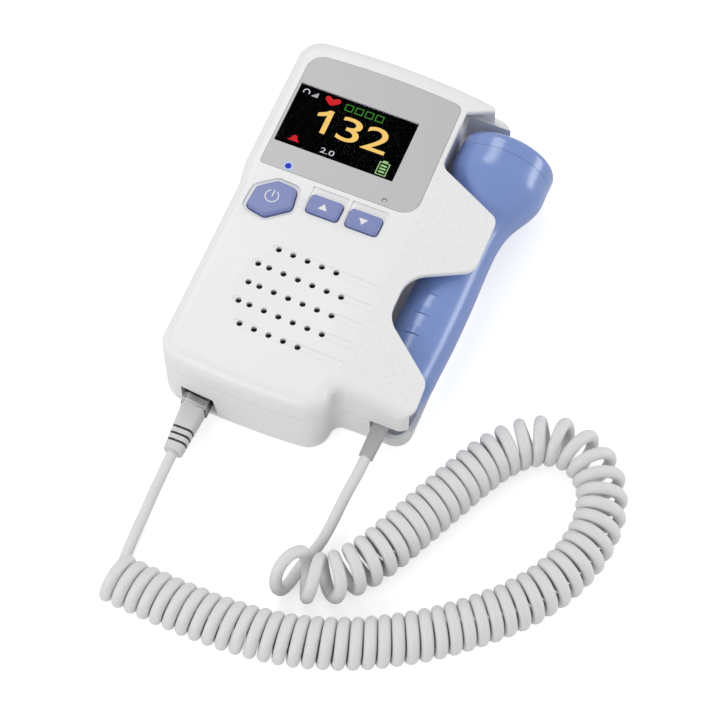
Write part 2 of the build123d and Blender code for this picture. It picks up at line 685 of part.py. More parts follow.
def lcd_cradle():
    """Plastic frame that holds the screen module off the board."""
    top = BODY_HEIGHT - FACE_THICKNESS - 0.1 - LCD_T
    outer = rounded_rectangle(SCREEN_X, SCREEN_Y, SCREEN_W + 2 * LCD_BORDER, SCREEN_H + 2 * LCD_BORDER, 1.0)
    inner = rounded_rectangle(SCREEN_X, SCREEN_Y, SCREEN_W - 4, SCREEN_H - 4, 1.0)
    return prism(outer, board_top(), top) - prism(inner, 0, FAR)


def light_pipe(x, y, diameter, proud):
    """Small clear pin from the board to the overlay's face."""
    pin = rod(x, y, board_top(), BODY_HEIGHT + proud, diameter)
    foot = rod(x, y, board_top(), board_top() + 1.5, diameter + 2.4)
    return fillet(pin.faces().sort_by(Axis.Z)[-1].edges(), 0.3) + foot


def board_top():
    """Upper side of the main board."""
    return MAIN_BOARD_Z + PCB_T


def key_rest():
    """Underside of a key's flange at rest."""
    return BODY_HEIGHT - FACE_THICKNESS - KEY_FLANGE - 0.1


def key(plan, flange, x, y):
    """Key cap with a retaining flange and a stem down to its switch."""
    top = BODY_HEIGHT + KEY_PROUD
    cap = prism(plan, key_rest(), top)
    cap = fillet(cap.faces().sort_by(Axis.Z)[-1].edges(), 0.9)
    skirt = prism(flange, key_rest(), key_rest() + KEY_FLANGE)
    stem = rod(x, y, switch_top() + KEY_GAP, key_rest() + 0.5, KEY_STEM_D)
    return cap + skirt + stem


def power_middle():
    """Middle of the power key."""
    count = len(POWER_KEY)
    return sum(x for x, y in POWER_KEY) / count, KEY_Y + sum(y for x, y in POWER_KEY) / count


def switch_spots():
    """Where each key presses its switch."""
    return [power_middle(), *[(x, KEY_Y) for x in KEY_X]]


def switch_top():
    """Top of a switch's case."""
    return board_top() + SWITCH_H - KEY_TRAVEL


def tact_switches():
    """Square tact switches on the main board; each key's stem is the plunger in its well."""
    switches = []
    for x, y in switch_spots():
        case = prism(rounded_rectangle(x, y, SWITCH_SIZE, SWITCH_SIZE, 0.5), board_top(), switch_top())
        switches.append(case - rod(x, y, switch_top() - KEY_TRAVEL, FAR, KEY_STEM_D + 2 * KEY_GAP))
    return group(switches)


# ---------------------------------------------------------------- boards and electronics
def main_board():
    """Board under the display and keys, notched round the screw bosses."""
    plan = body_plan(DOCK_RIGHT + 20, WALL + 0.8)
    keep = block(-FAR, DOCK_WALL_X - DOCK_WALL - 0.8, MAIN_BOARD_BOTTOM, FAR, 0, FAR)
    board = prism(plan, MAIN_BOARD_Z, board_top()) & keep
    reach = BOSS_D / 2 + 0.6
    (left, left_y), (right, right_y) = SCREW_SPOTS[:2]
    board -= block(-FAR, left + reach, left_y - reach, FAR, 0, FAR)
    board -= block(right - reach, FAR, right_y - reach, FAR, 0, FAR)
    for x, y in BOARD_SCREW_SPOTS:
        board -= rod(x, y, 0, FAR, BOARD_SCREW_D + 2 * SCREW_FIT)
    return board


def controller_chips():
    """Processor, audio amplifier and radio-frequency driver under the main board."""
    chips = []
    for x, y, width, height in ((-8, 7, 12, 12), (12, 7, 10, 10), (-8, -13, 8, 10), (14, -11, 14, 8)):
        chips.append(Pos(SCREEN_X + x, SCREEN_Y + y, MAIN_BOARD_Z - 0.8) * Box(width, height, 1.6))
    return group(chips)


def board_screws():
    """Pan-head screws that hold the main board up to the face's posts."""
    screws = []
    for x, y in BOARD_SCREW_SPOTS:
        head = rod(x, y, MAIN_BOARD_Z - 1.3, MAIN_BOARD_Z, 2 * BOARD_SCREW_D)
        screws.append(head + rod(x, y, MAIN_BOARD_Z - 0.5, board_top() + 4, BOARD_SCREW_D))
    return group(screws)


def io_board():
    """Small board under the two sockets."""
    left = BODY_LEFT + WAIST_INSET + WALL + 0.6
    low = -BODY_HALF_LENGTH + WALL + 3
    board = block(left, PLUG_X + JACK_W / 2 + 2, low, IO_BOARD_END_Y, IO_BOARD_Z, IO_BOARD_Z + PCB_T)
    corner_cut = CORNER_R - WALL - 2
    return board - block(left - 1, left + corner_cut, low - 1, low + corner_cut, 0, 9)


def earphone_z():
    """Height of the earphone socket's axis."""
    return IO_BOARD_Z + PCB_T + EARPHONE_H / 2


def earphone_jack():
    """3.5 mm socket that looks out of the left flank."""
    left = BODY_LEFT + WAIST_INSET + WALL + 0.2
    base = IO_BOARD_Z + PCB_T
    half = EARPHONE_W / 2
    right = left + EARPHONE_DEPTH + 1
    case = block(left, right, EARPHONE_Y - half, EARPHONE_Y + half, base, base + EARPHONE_H)
    nose = Pos(left - 0.8, EARPHONE_Y, earphone_z()) * Rot(0, 90, 0) * Cylinder(EARPHONE_R + 0.7, 3.0)
    bore = Pos(left - 2.3 + EARPHONE_DEPTH / 2, EARPHONE_Y, earphone_z()) * Rot(0, 90, 0)
    return case + nose - bore * Cylinder(EARPHONE_R, EARPHONE_DEPTH)


def modular_jack():
    """Six-position modular socket behind the lower end wall."""
    front = -BODY_HALF_LENGTH + WALL + 1.4
    base = IO_BOARD_Z + PCB_T
    case = block(PLUG_X - JACK_W / 2, PLUG_X + JACK_W / 2, front, front + JACK_DEPTH, base, base + JACK_H)
    half_w = PLUG_W / 2 + JACK_RUNNING
    low = PLUG_Z - PLUG_H / 2 - JACK_RUNNING
    high = PLUG_Z + PLUG_H / 2 + JACK_RUNNING
    hollow = block(PLUG_X - half_w, PLUG_X + half_w, front - 1, plug_tip() + 1.2, low, high)
    keyway = block(PLUG_X - 3.2, PLUG_X + 3.2, front - 1, plug_tip() + 1.2, high - 1, high + 1.3)
    return case - hollow - keyway


def plug_tip():
    """How far in the plug reaches."""
    return BOOT_START_Y + PLUG_INSERT + 2.0


def flex_cable():
    """Flat cable from the socket board, up over the battery bay, to the main board."""
    x = FLEX_X
    width, length = bay_size()
    rise = BAY_Y - length / 2 - BAY_WALL - 1.6
    over = bay_roof() + BAY_WALL + 2.5
    low = IO_BOARD_Z + PCB_T + 0.12
    run = [(x, rise - 3, low), (x, rise, low), (x, rise, over),
           (x, MAIN_BOARD_BOTTOM + 4, over), (x, MAIN_BOARD_BOTTOM + 4, MAIN_BOARD_Z)]
    path = FilletPolyline(*run, radius=1.0)
    band = Plane(origin=path @ 0, x_dir=(1, 0, 0), z_dir=path % 0) * Rectangle(FLEX_W, 0.24)
    return sweep(band, path=path)


# ---------------------------------------------------------------- speaker
def speaker_top():
    """Level of the speaker's front rim, under the face."""
    return BODY_HEIGHT - 2 * FACE_THICKNESS - 0.2


def speaker_frame():
    """Pressed steel basket."""
    top = speaker_top()
    outer = rod(SPEAKER_X, SPEAKER_Y, top - 3, top, SPEAKER_D)
    cup_loc = Pos(SPEAKER_X, SPEAKER_Y, top - 4.5)
    outer += cup_loc * Cone(SPEAKER_MAGNET_D / 2, SPEAKER_D / 2 - 2, 3)
    inner = Pos(SPEAKER_X, SPEAKER_Y, top - 3.4) * Cone(SPEAKER_MAGNET_D / 2 - 1, SPEAKER_D / 2 - 3, 3)
    return outer - inner - rod(SPEAKER_X, SPEAKER_Y, top - 2, FAR, SPEAKER_D - 4)


def speaker_cone():
    """Paper cone with its dust cap."""
    top = speaker_top() - 0.4
    big, small = SPEAKER_D / 2 - 2.4, 6.0
    paper = Polyline((small, top - 3.0), (big, top - 1.0), (big, top - 0.6), (small, top - 2.4), close=True)
    crown = ThreePointArc((0, top - 1.4), (3.4, top - 1.8), (small, top - 2.4))
    under = Polyline(crown @ 1, (small, top - 3.0), (0, top - 3.0), crown @ 0)
    profile = make_face(paper.edges()) + make_face([crown, *under.edges()])
    return Pos(SPEAKER_X, SPEAKER_Y, 0) * revolve(Rot(90, 0, 0) * profile, Axis.Z)


def speaker_magnet():
    """Magnet and back plate."""
    top = speaker_top() - 6.0
    low = speaker_top() - SPEAKER_DEPTH
    return rod(SPEAKER_X, SPEAKER_Y, low, top, SPEAKER_MAGNET_D)


def speaker_mesh():
    """Dust cloth behind the holes, on the foam ring that seals the speaker to the face."""
    top = BODY_HEIGHT - FACE_THICKNESS - 0.05
    ring = rod(SPEAKER_X, SPEAKER_Y, speaker_top(), top, SPEAKER_D)
    return ring - rod(SPEAKER_X, SPEAKER_Y, 0, top - 0.4, SPEAKER_D - 4)


# ---------------------------------------------------------------- fasteners
def housing_screws():
    """Screws from the rear, through the rear bosses into the front ones."""
    screws = []
    for x, y in SCREW_SPOTS:
        head = rod(x, y, COUNTERBORE - SCREW_HEAD_H, COUNTERBORE, SCREW_HEAD_D)
        cross = block(x - 1.3, x + 1.3, y - 0.3, y + 0.3, 0, COUNTERBORE - SCREW_HEAD_H + 0.9)
        cross += block(x - 0.3, x + 0.3, y - 1.3, y + 1.3, 0, COUNTERBORE - SCREW_HEAD_H + 0.9)
        screws.append(head - cross + rod(x, y, COUNTERBORE - 0.1, SEAM_Z + 6, SCREW_D))
    return group(screws)


# ---------------------------------------------------------------- probe, along its own -Y axis
def probe_tilt():
    """The probe lies on its head and its tail, so the thinner tail sits lower."""
    drop = HEAD_R - TAIL_R - (TAIL_CLEAR + SCOOP_DEPTH - DOCK_CLEAR)
    return asin(drop / (TAIL_S - RIM_S))


def probe_place():
    """From the probe's own axes, with its rim line at y=0, to its place in the dock."""
    tilt = probe_tilt()
    height = FLOOR - SCOOP_DEPTH + DOCK_CLEAR + HEAD_R / cos(tilt) + RIM_S * tan(tilt)
    return Pos(RIM_X, RIM_Y, height) * Rot(0, 0, -PROBE_YAW) * Rot(degrees(tilt), 0, 0)


def probe_profile(inset=0.0):
    """Half outline of head, neck, grip and tail, from the cap's seam to the tail's end."""
    seam = -CAP_SEAM_S
    stations = ((CAP_SEAM_S, HEAD_R), (14.0, HEAD_R - 0.1), (20.6, HEAD_R - 2.6), (27.6, NECK_R + 1.7),
                (0.364 * TAIL_S, NECK_R + 0.1), (0.444 * TAIL_S, NECK_R), (0.586 * TAIL_S, GRIP_R - 0.3),
                (0.727 * TAIL_S, GRIP_R), (0.869 * TAIL_S, GRIP_R - 0.2), (0.934 * TAIL_S, GRIP_R - 0.4),
                (TAIL_S, TAIL_R), (PROBE_TAIL_S - 7.5, TAIL_R - 1.05), (PROBE_TAIL_S - 4.5, TAIL_R - 2.6))
    points = [(radius - inset, -along) for along, radius in stations]
    end = -PROBE_TAIL_S + inset
    last_r = 4.4
    side = Spline(*points, tangents=[(0, -1), (-0.62, -1)])
    nose = Line(side @ 1, (last_r, end))
    outline = [side, nose, *Polyline(nose @ 1, (0, end), (0, seam), side @ 0).edges()]
    return make_face(outline)


def probe_solid(inset=0.0):
    """Body of revolution of the probe's handle."""
    return revolve(probe_profile(inset), Axis.Y)


def probe_shells():
    """Upper and lower halves of the handle, with the grip's ridges and the dimple on the upper one."""
    hollow = probe_solid(PROBE_WALL)
    hollow += Pos(0, -CAP_SEAM_S + 0.5, 0) * Rot(90, 0, 0) * Cylinder(HEAD_R - PROBE_WALL - 1.2, 3)
    body = probe_solid() - hollow - relief_hole()
    half_gap = 0.04
    upper = body & block(-FAR, FAR, -FAR, FAR, half_gap, FAR)
    lower = body & block(-FAR, FAR, -FAR, FAR, -FAR, -half_gap)
    wedge = Rot(90, 0, 0) * Cone(RIDGE_R - RIDGE_RISE, RIDGE_R, RIDGE_L)
    for index in range(RIDGE_COUNT):
        along = RIDGE_S + RIDGE_PITCH * index - RIDGE_L / 2
        ridge = Rot(0, RIDGE_TURN, 0) * Pos(0, -along, GRIP_R + RIDGE_RISE - RIDGE_R) * wedge
        upper += ridge - hollow
    dimple = Rot(0, DIMPLE_TURN, 0) * Pos(0, -DIMPLE_S, HEAD_R + DIMPLE_R - DIMPLE_DEPTH) * Sphere(DIMPLE_R)
    return upper - dimple, lower


def relief_hole():
    """Square hole in the tail for the cable's strain relief."""
    return block(-RELIEF_W / 2 - FIT, RELIEF_W / 2 + FIT, -PROBE_TAIL_S - 2, -PROBE_TAIL_S + 6,
                 -RELIEF_H / 2 - FIT, RELIEF_H / 2 + FIT)


def transducer_cap():
    """Domed cap over the head, with the sound window at its middle."""
    rim = HEAD_R
    seam = -CAP_SEAM_S + 0.12
    dome = ThreePointArc((0, FACE_BULGE), (rim * 0.52, FACE_BULGE * 0.78), (rim - 1.9, 0.6))
    corner = ThreePointArc((rim - 1.9, 0.6), (rim - 0.45, -0.75), (rim, -2.6))
    sides = Polyline(corner @ 1, (rim, seam), (rim - PROBE_WALL, seam), (rim - PROBE_WALL, -1.8),
                     (0, -1.8), dome @ 0)
    return revolve(make_face([dome, corner, *sides.edges()]), Axis.Y)


def piezo_crystals():
    """Transmit and receive half discs, bonded behind the cap."""
    disc = Pos(0, -2.9, 0) * Rot(90, 0, 0) * Cylinder(HEAD_R - 7.2, 1.6)
    left = disc & block(-FAR, -0.5, -FAR, FAR, -FAR, FAR)
    right = disc & block(0.5, FAR, -FAR, FAR, -FAR, FAR)
    return left, right


def acoustic_backing():
    """Foam disc behind the crystals."""
    return Pos(0, -6.4, 0) * Rot(90, 0, 0) * Cylinder(HEAD_R - 5.2, 4.8)


def probe_board():
    """Long narrow driver board in the handle."""
    half = NECK_R - 4.3
    return block(-half, half, 3 - TAIL_S, -RIM_S - 2, -PCB_T / 2, PCB_T / 2)


def probe_strain_relief():
    """Soft square sleeve, wider where it leaves the probe, with the lead's hole through it."""
    start = across(0, -PROBE_TAIL_S + 4, 0) * RectangleRounded(RELIEF_W, RELIEF_H, 1.2)
    end = across(0, -RELIEF_END_S, 0) * RectangleRounded(RELIEF_END_W, RELIEF_END_W - 0.8, 2.0)
    return loft([start, end])


# ---------------------------------------------------------------- plug
def plug_body():
    """Clear modular plug with its latch."""
    tip = plug_tip()
    start = BOOT_START_Y - 1.0
    low = PLUG_Z - PLUG_H / 2
    high = PLUG_Z + PLUG_H / 2
    case = block(PLUG_X - PLUG_W / 2, PLUG_X + PLUG_W / 2, start, tip, low, high)
    for slot in range(6):
        x = PLUG_X + (slot - 2.5) * 1.02
        case -= block(x - 0.2, x + 0.2, tip - 4, tip + 1, low - 1, low + 2.6)
    return case + block(PLUG_X - 1.6, PLUG_X + 1.6, tip - 9, tip - 0.5, high - 0.2, high + 0.9)


def plug_contacts():
    """Gold blades in the plug's slots."""
    blades = []
    for slot in range(6):
        x = PLUG_X + (slot - 2.5) * 1.02
        low = PLUG_Z - PLUG_H / 2 + 0.3
        blades.append(block(x - 0.15, x + 0.15, plug_tip() - 3.8, plug_tip() - 0.3, low, low + 2.2))
    return group(blades)


def boot_end():
    """Y of the boot's far end."""
    return BOOT_START_Y - BOOT_LENGTH


def plug_boot():
    """Moulded sleeve behind the plug, tapering to the lead, with three relief grooves and a collar."""
    start = across(PLUG_X, BOOT_START_Y - 1.2, PLUG_Z) * RectangleRounded(BOOT_W, BOOT_H, 1.6)
    end = across(PLUG_X, boot_end(), PLUG_Z) * RectangleRounded(BOOT_END_D, BOOT_END_D - 0.6, 2.4)
    sleeve = loft([start, end])
    for groove in range(3):
        y = boot_end() + 3 + GROOVE_PITCH * groove
        ring = block(-FAR, FAR, y, y + GROOVE_W, -FAR, FAR)
        core = Pos(PLUG_X, y, PLUG_Z) * Rot(90, 0, 0) * Cylinder(CORD_D / 2 + 0.5, 6)
        sleeve -= ring - core
    return sleeve


# ---------------------------------------------------------------- cord
# Routes as X, distance beyond the jack end, and height.
PLUG_LEAD = ((PLUG_X, -21.7, PLUG_Z), (PLUG_X, -27.9, PLUG_Z), (-34.9, -35.1, 7.2), (-35.4, -43.1, 4.0),
             (-35.5, -51.5, 2.6), (-35.2, -59.3, 2.9), (-34.5, -66.3, 4.4))
PROBE_LEAD = ((28.6, -14.5, 9.9), (27.9, -23.1, 6.6), (26.8, -32.1, 4.4), (25.5, -39.9, 4.2))
COIL_Z = COIL_D / 2
COIL_AXIS = ((18.0, -51.0, COIL_Z), (42.0, -38.0, COIL_Z), (57.0, -9.5, COIL_Z), (73.0, 25.3, COIL_Z),
             (89.0, 36.0, COIL_Z), (104.0, 33.0, COIL_Z), (113.5, 20.5, COIL_Z), (115.0, 2.5, COIL_Z),
             (108.0, -17.5, COIL_Z), (93.0, -36.0, COIL_Z), (68.0, -56.0, COIL_Z), (36.0, -70.8, COIL_Z),
             (-2.0, -75.1, COIL_Z), (-39.0, -72.3, COIL_Z))


def from_jack_end(route):
    """A route's points in the unit's frame."""
    return [(x, y - BODY_HALF_LENGTH, z) for x, y, z in route]


def probe_lead_route():
    """From the strain relief down to the coil's loose first turn."""
    start = [(probe_place() * Pos(0, -along, 0)).position for along in (RELIEF_END_S, RELIEF_END_S + 7)]
    return [*[tuple(point) for point in start], *from_jack_end(PROBE_LEAD)]


def arc_radii(points):
    """For each inner corner, the arc that fits 0.45 of its shorter run."""
    radii = []
    for before, here, after in zip(points, points[1:], points[2:]):
        first, second = Vector(*here) - Vector(*before), Vector(*after) - Vector(*here)
        half_turn = radians(first.get_angle(second)) / 2
        radii.append(0.45 * min(first.length, second.length) / tan(half_turn))
    return radii


def tube(name, points, diameter):
    """Round tube along straight runs joined by tangent arcs."""
    radii = arc_radii(points)
    path = FilletPolyline(*points, radius=radii)
    solid = sweep(Plane(origin=path @ 0, z_dir=path % 0) * Circle(diameter / 2), path=path)
    ratio = solid.volume / (pi * diameter ** 2 / 4 * path.length)
    bends = ["%.1f" % radius for radius in radii]
    print(name, "length %.1f" % path.length, "volume ratio %.4f" % ratio, "radii", *bends)
    return solid


# ---------------------------------------------------------------- build
def build():
    """Write every sub-part."""
    os.makedirs("parts", exist_ok=True)
    save("front_housing", front_housing())
    save("rear_housing", rear_housing())
    save("battery_door", battery_door())
    save("battery_cells", battery_cells())
    save("battery_contacts", battery_contacts())
    save("battery_springs", battery_springs())
    save("display_overlay", display_overlay())
    save("display_lens", display_lens())
    save("lcd_module", lcd_module())
    save("lcd_cradle", lcd_cradle())
    save("led_light_pipe", light_pipe(LED_X, LED_Y, LED_D, 0.15))
    save("sensor_lens", light_pipe(SENSOR_X, SENSOR_Y, SENSOR_D, -0.4))
    save("power_button", key(power_plan(), power_plan(KEY_FLANGE), *power_middle()))
    for name, x in zip(("up_button", "down_button"), KEY_X):
        flange = key_plan(x, KEY_W + 2 * KEY_FLANGE, KEY_H + 2 * KEY_FLANGE, KEY_R)
        save(name, key(key_plan(x), flange, x, KEY_Y))
    save("tact_switches", tact_switches())
    save("main_board", main_board())
    save("controller_chips", controller_chips())
    save("board_screws", board_screws())
    save("io_board", io_board())
    save("earphone_jack", earphone_jack())
    save("modular_jack", modular_jack())
    save("flex_cable", flex_cable())
    save("speaker_frame", speaker_frame())
    save("speaker_cone", speaker_cone())
    save("speaker_magnet", speaker_magnet())
    save("speaker_mesh", speaker_mesh())
    save("housing_screws", housing_screws())
    place = probe_place()
    upper, lower = probe_shells()
    save("probe_upper_shell", place * upper)
    save("probe_lower_shell", place * lower)
    save("transducer_cap", place * transducer_cap())
    save("piezo_crystals", group([place * crystal for crystal in piezo_crystals()]))
    save("acoustic_backing", place * acoustic_backing())
    save("probe_board", place * probe_board())
    save("probe_strain_relief", place * probe_strain_relief())
    save("plug_body", plug_body())
    save("plug_contacts", plug_contacts())
    save("plug_boot", plug_boot())
    save("cord_plug_lead", tube("cord_plug_lead", from_jack_end(PLUG_LEAD), CORD_D))
    save("cord_probe_lead", tube("cord_probe_lead", probe_lead_route(), CORD_D))
    save("cord_coil", tube("cord_coil", from_jack_end(COIL_AXIS), COIL_D))


build()
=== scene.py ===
from math import cos, pi, radians, sin

import bmesh
import bpy
from bpy.props import FloatProperty, FloatVectorProperty, IntProperty, PointerProperty
from mathutils import Matrix, Vector
from mathutils.bvhtree import BVHTree


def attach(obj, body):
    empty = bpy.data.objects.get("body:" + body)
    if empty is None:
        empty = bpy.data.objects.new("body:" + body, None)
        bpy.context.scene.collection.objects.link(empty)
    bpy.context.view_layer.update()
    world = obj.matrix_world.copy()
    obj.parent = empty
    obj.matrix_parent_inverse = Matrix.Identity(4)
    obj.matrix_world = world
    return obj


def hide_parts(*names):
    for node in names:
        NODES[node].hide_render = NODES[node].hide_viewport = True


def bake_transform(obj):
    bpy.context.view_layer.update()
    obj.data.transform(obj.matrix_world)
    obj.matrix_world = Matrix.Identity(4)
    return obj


bl_info = {
    "name": "Fetal doppler monitor",
    "version": (1, 0, 0),
    "blender": (4, 5, 0),
    "location": "3D View > Sidebar > Doppler",
    "description": "Dresses the packed model of a handheld fetal doppler monitor and its coiled cord",
    "category": "Object",
}

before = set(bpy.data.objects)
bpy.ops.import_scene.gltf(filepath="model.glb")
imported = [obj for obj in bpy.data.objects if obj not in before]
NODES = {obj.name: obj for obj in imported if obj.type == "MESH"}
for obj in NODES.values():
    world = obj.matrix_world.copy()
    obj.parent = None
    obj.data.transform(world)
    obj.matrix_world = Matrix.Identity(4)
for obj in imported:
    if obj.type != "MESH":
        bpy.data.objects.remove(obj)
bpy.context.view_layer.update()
MM = 0.001

# ---- the camera, in degrees and metres ----
CAMERA_TURN = 22.594
CAMERA_RISE = 64.117
CAMERA_DISTANCE = 0.94969
CAMERA_TARGET = (0.011153, -0.030824, 0.0)
LAMP_TARGET = (0.02, -0.02, 0.02)

# ---- details, in metres ----
LIGHT_PLACE = (-0.0363, 0.0154, 0.036)  # the small light on the panel, middle of the pale blue glow painted round it
GROOVE_Y = -0.09078      # middle of the boot's first groove
GROOVE_PITCH = 0.0026
GROOVE_SHADE_REACH = 0.00044   # half the width of the painted shade in a groove

# ---- the wings' dots, in metres ----
DOT_FIELD_LEFT = 0.0145
DOT_FIELD_LOW = -0.062
DOT_FIELD_TOP = 0.036
DOT_GRID_LEFT = 0.0135
DOT_MARGIN = 0.0022      # kept free round each dot
DOT_STEP = 0.0014        # a larger change of height within the margin is an edge
LOWEST_SEAT = 0.022
STEEPEST_SEAT = 0.85     # upward part of the surface's direction
CAST_FROM = 0.05

# ---- the coil's winding ----
FIRST_ANGLE = radians(-18)
LAST_ANGLE = radians(100)
COIL_STOP = 0.0047       # the last turn ends this far before the end of the axis
LOOSE_RUN = 0.040        # the first turns close up over this length
TURN_GAP = 1.01          # distance of touching turns, in diameters of the wire
CURVE_SHRINK = 0.966     # a turn's curve runs inside its control points by this
SWELL_IN = 4             # points over which the wire thickens at the coil's start
SWELL_OUT = 5            # and thins at its end

# ---- the cord's route, in metres: the points its solids follow ----
PROBE_LEAD = (
    (0.03062, -0.0640, 0.01275), (0.03004, -0.07096, 0.01230), (0.02981, -0.07794, 0.01185),
    (0.0286, -0.0870, 0.0099), (0.0279, -0.0956, 0.0066), (0.0268, -0.1046, 0.0044),
)
FIRST_LOOP = (
    (0.0240, -0.1116, 0.0027), (0.0228, -0.1165, 0.0024), (0.0222, -0.1215, 0.0025),
    (0.0207, -0.1262, 0.0042), (0.0190, -0.1266, 0.0095), (0.0184, -0.1227, 0.0150),
    (0.0205, -0.1166, 0.0172), (0.0238, -0.1128, 0.0150),
)
COIL_AXIS = (
    (0.0256, -0.1199, 0.0093), (0.0338, -0.1188, 0.0093), (0.0408, -0.1119, 0.0093),
    (0.0472, -0.1032, 0.0093), (0.057, -0.082, 0.0093),
    (0.073, -0.0472, 0.0093), (0.089, -0.0365, 0.0093), (0.104, -0.0395, 0.0093),
    (0.1135, -0.052, 0.0093), (0.115, -0.070, 0.0093), (0.108, -0.090, 0.0093),
    (0.093, -0.1085, 0.0093), (0.068, -0.1285, 0.0093), (0.036, -0.1433, 0.0093),
    (-0.002, -0.1476, 0.0093), (-0.039, -0.1448, 0.0093),
)
PLUG_LEAD = (
    (-0.0345, -0.0900, 0.0094), (-0.0345, -0.0942, 0.0094), (-0.0345, -0.1004, 0.0094),
    (-0.0349, -0.1076, 0.0072), (-0.0354, -0.1156, 0.0040), (-0.0355, -0.1240, 0.0026),
    (-0.0352, -0.1318, 0.0023),
)


def linear(red, green, blue):
    """A colour as it is written for print, turned into light."""
    return tuple((c / 255 / 12.92) if c <= 10 else ((c / 255 + 0.055) / 1.055) ** 2.4
                 for c in (red, green, blue))


# ---- properties ----

class CordProperties(bpy.types.PropertyGroup):
    """Sizes of the coiled cord."""
    diameter: FloatProperty(
        name="Wire", description="Diameter of the cord's jacket", default=0.0041, unit="LENGTH")
    turn_radius: FloatProperty(
        name="Turn radius", description="From the coil's axis to the middle of the wire",
        default=0.00702, unit="LENGTH")
    coiled_diameter: FloatProperty(
        name="Coiled wire", description="Diameter of the thicker jacket in the coil",
        default=0.00455, unit="LENGTH")
    pitch: FloatProperty(
        name="Pitch", description="Distance from one turn to the next where the coil is at rest",
        default=0.00485, unit="LENGTH")
    first_pitch: FloatProperty(
        name="First turns", description="Pitch of the stretched turns next to the probe's lead",
        default=0.0074, unit="LENGTH")
    points_per_turn: IntProperty(
        name="Points per turn", description="Control points in each turn of the coil", default=12)
    length: FloatProperty(
        name="Length", description="Length of wire in the probe's lead and the coil",
        default=2.935, unit="LENGTH")
    colour: FloatVectorProperty(
        name="Jacket", description="Colour of the cord's jacket", subtype="COLOR", size=3,
        min=0, max=1, default=linear(226, 226, 226))


class HousingProperties(bpy.types.PropertyGroup):
    """Sizes and colours of the monitor's housing."""
    dot_diameter: FloatProperty(
        name="Dot", description="Diameter of one grip dot on the wings", default=0.0015,
        unit="LENGTH")
    dot_height: FloatProperty(
        name="Dot height", description="How far a grip dot stands proud", default=0.0002,
        unit="LENGTH")
    dot_pitch: FloatProperty(
        name="Dot pitch", description="Distance between dots in a row", default=0.0048,
        unit="LENGTH")
    shell: FloatVectorProperty(
        name="Shell", description="Colour of the white shells", subtype="COLOR", size=3,
        min=0, max=1, default=linear(239, 239, 239))
    panel: FloatVectorProperty(
        name="Panel", description="Colour of the panel round the screen", subtype="COLOR", size=3,
        min=0, max=1, default=linear(190, 190, 192))
    key: FloatVectorProperty(
        name="Keys", description="Colour of the three keys", subtype="COLOR", size=3,
        min=0, max=1, default=linear(118, 130, 184))
    digits: FloatVectorProperty(
        name="Digits", description="Colour of the large digits", subtype="COLOR", size=3,
        min=0, max=1, default=linear(255, 209, 118))


class ProbeProperties(bpy.types.PropertyGroup):
    """Colours of the probe."""
    body: FloatVectorProperty(
        name="Body", description="Colour of the probe's shells", subtype="COLOR", size=3,
        min=0, max=1, default=linear(112, 138, 198))
    relief: FloatVectorProperty(
        name="Strain relief", description="Colour of the probe's strain relief", subtype="COLOR",
        size=3, min=0, max=1, default=linear(176, 176, 178))


class StageProperties(bpy.types.PropertyGroup):
    """Light round the object."""
    key_lamp: FloatProperty(
        name="Key lamp", description="Power of the large lamp above", default=3.5, unit="POWER")
    front_lamp: FloatProperty(
        name="Front lamp", description="Power of the lamp before the jack end", default=3.1,
        unit="POWER")
    side_lamp: FloatProperty(
        name="Side lamp", description="Power of the long lamp at the probe's side", default=2.6,
        unit="POWER")
    room: FloatProperty(
        name="Room", description="Strength of the even light from all round", default=0.6)


# ---- finishes ----

class Value:
    """A shader socket that is used in arithmetic: each operation adds the Math node that does it."""

    def __init__(self, finish, socket):
        self.finish = finish
        self.socket = socket

    def math(self, operation, *operands):
        return self.finish.add("ShaderNodeMath", {"operation": operation}, operands)

    def __add__(self, other):
        return self.math("ADD", self, other)

    def __mul__(self, other):
        return self.math("MULTIPLY", self, other)

    def __sub__(self, other):
        return self.math("SUBTRACT", self, other)

    def __rsub__(self, other):
        return self.math("SUBTRACT", other, self)

    __radd__ = __add__
    __rmul__ = __mul__


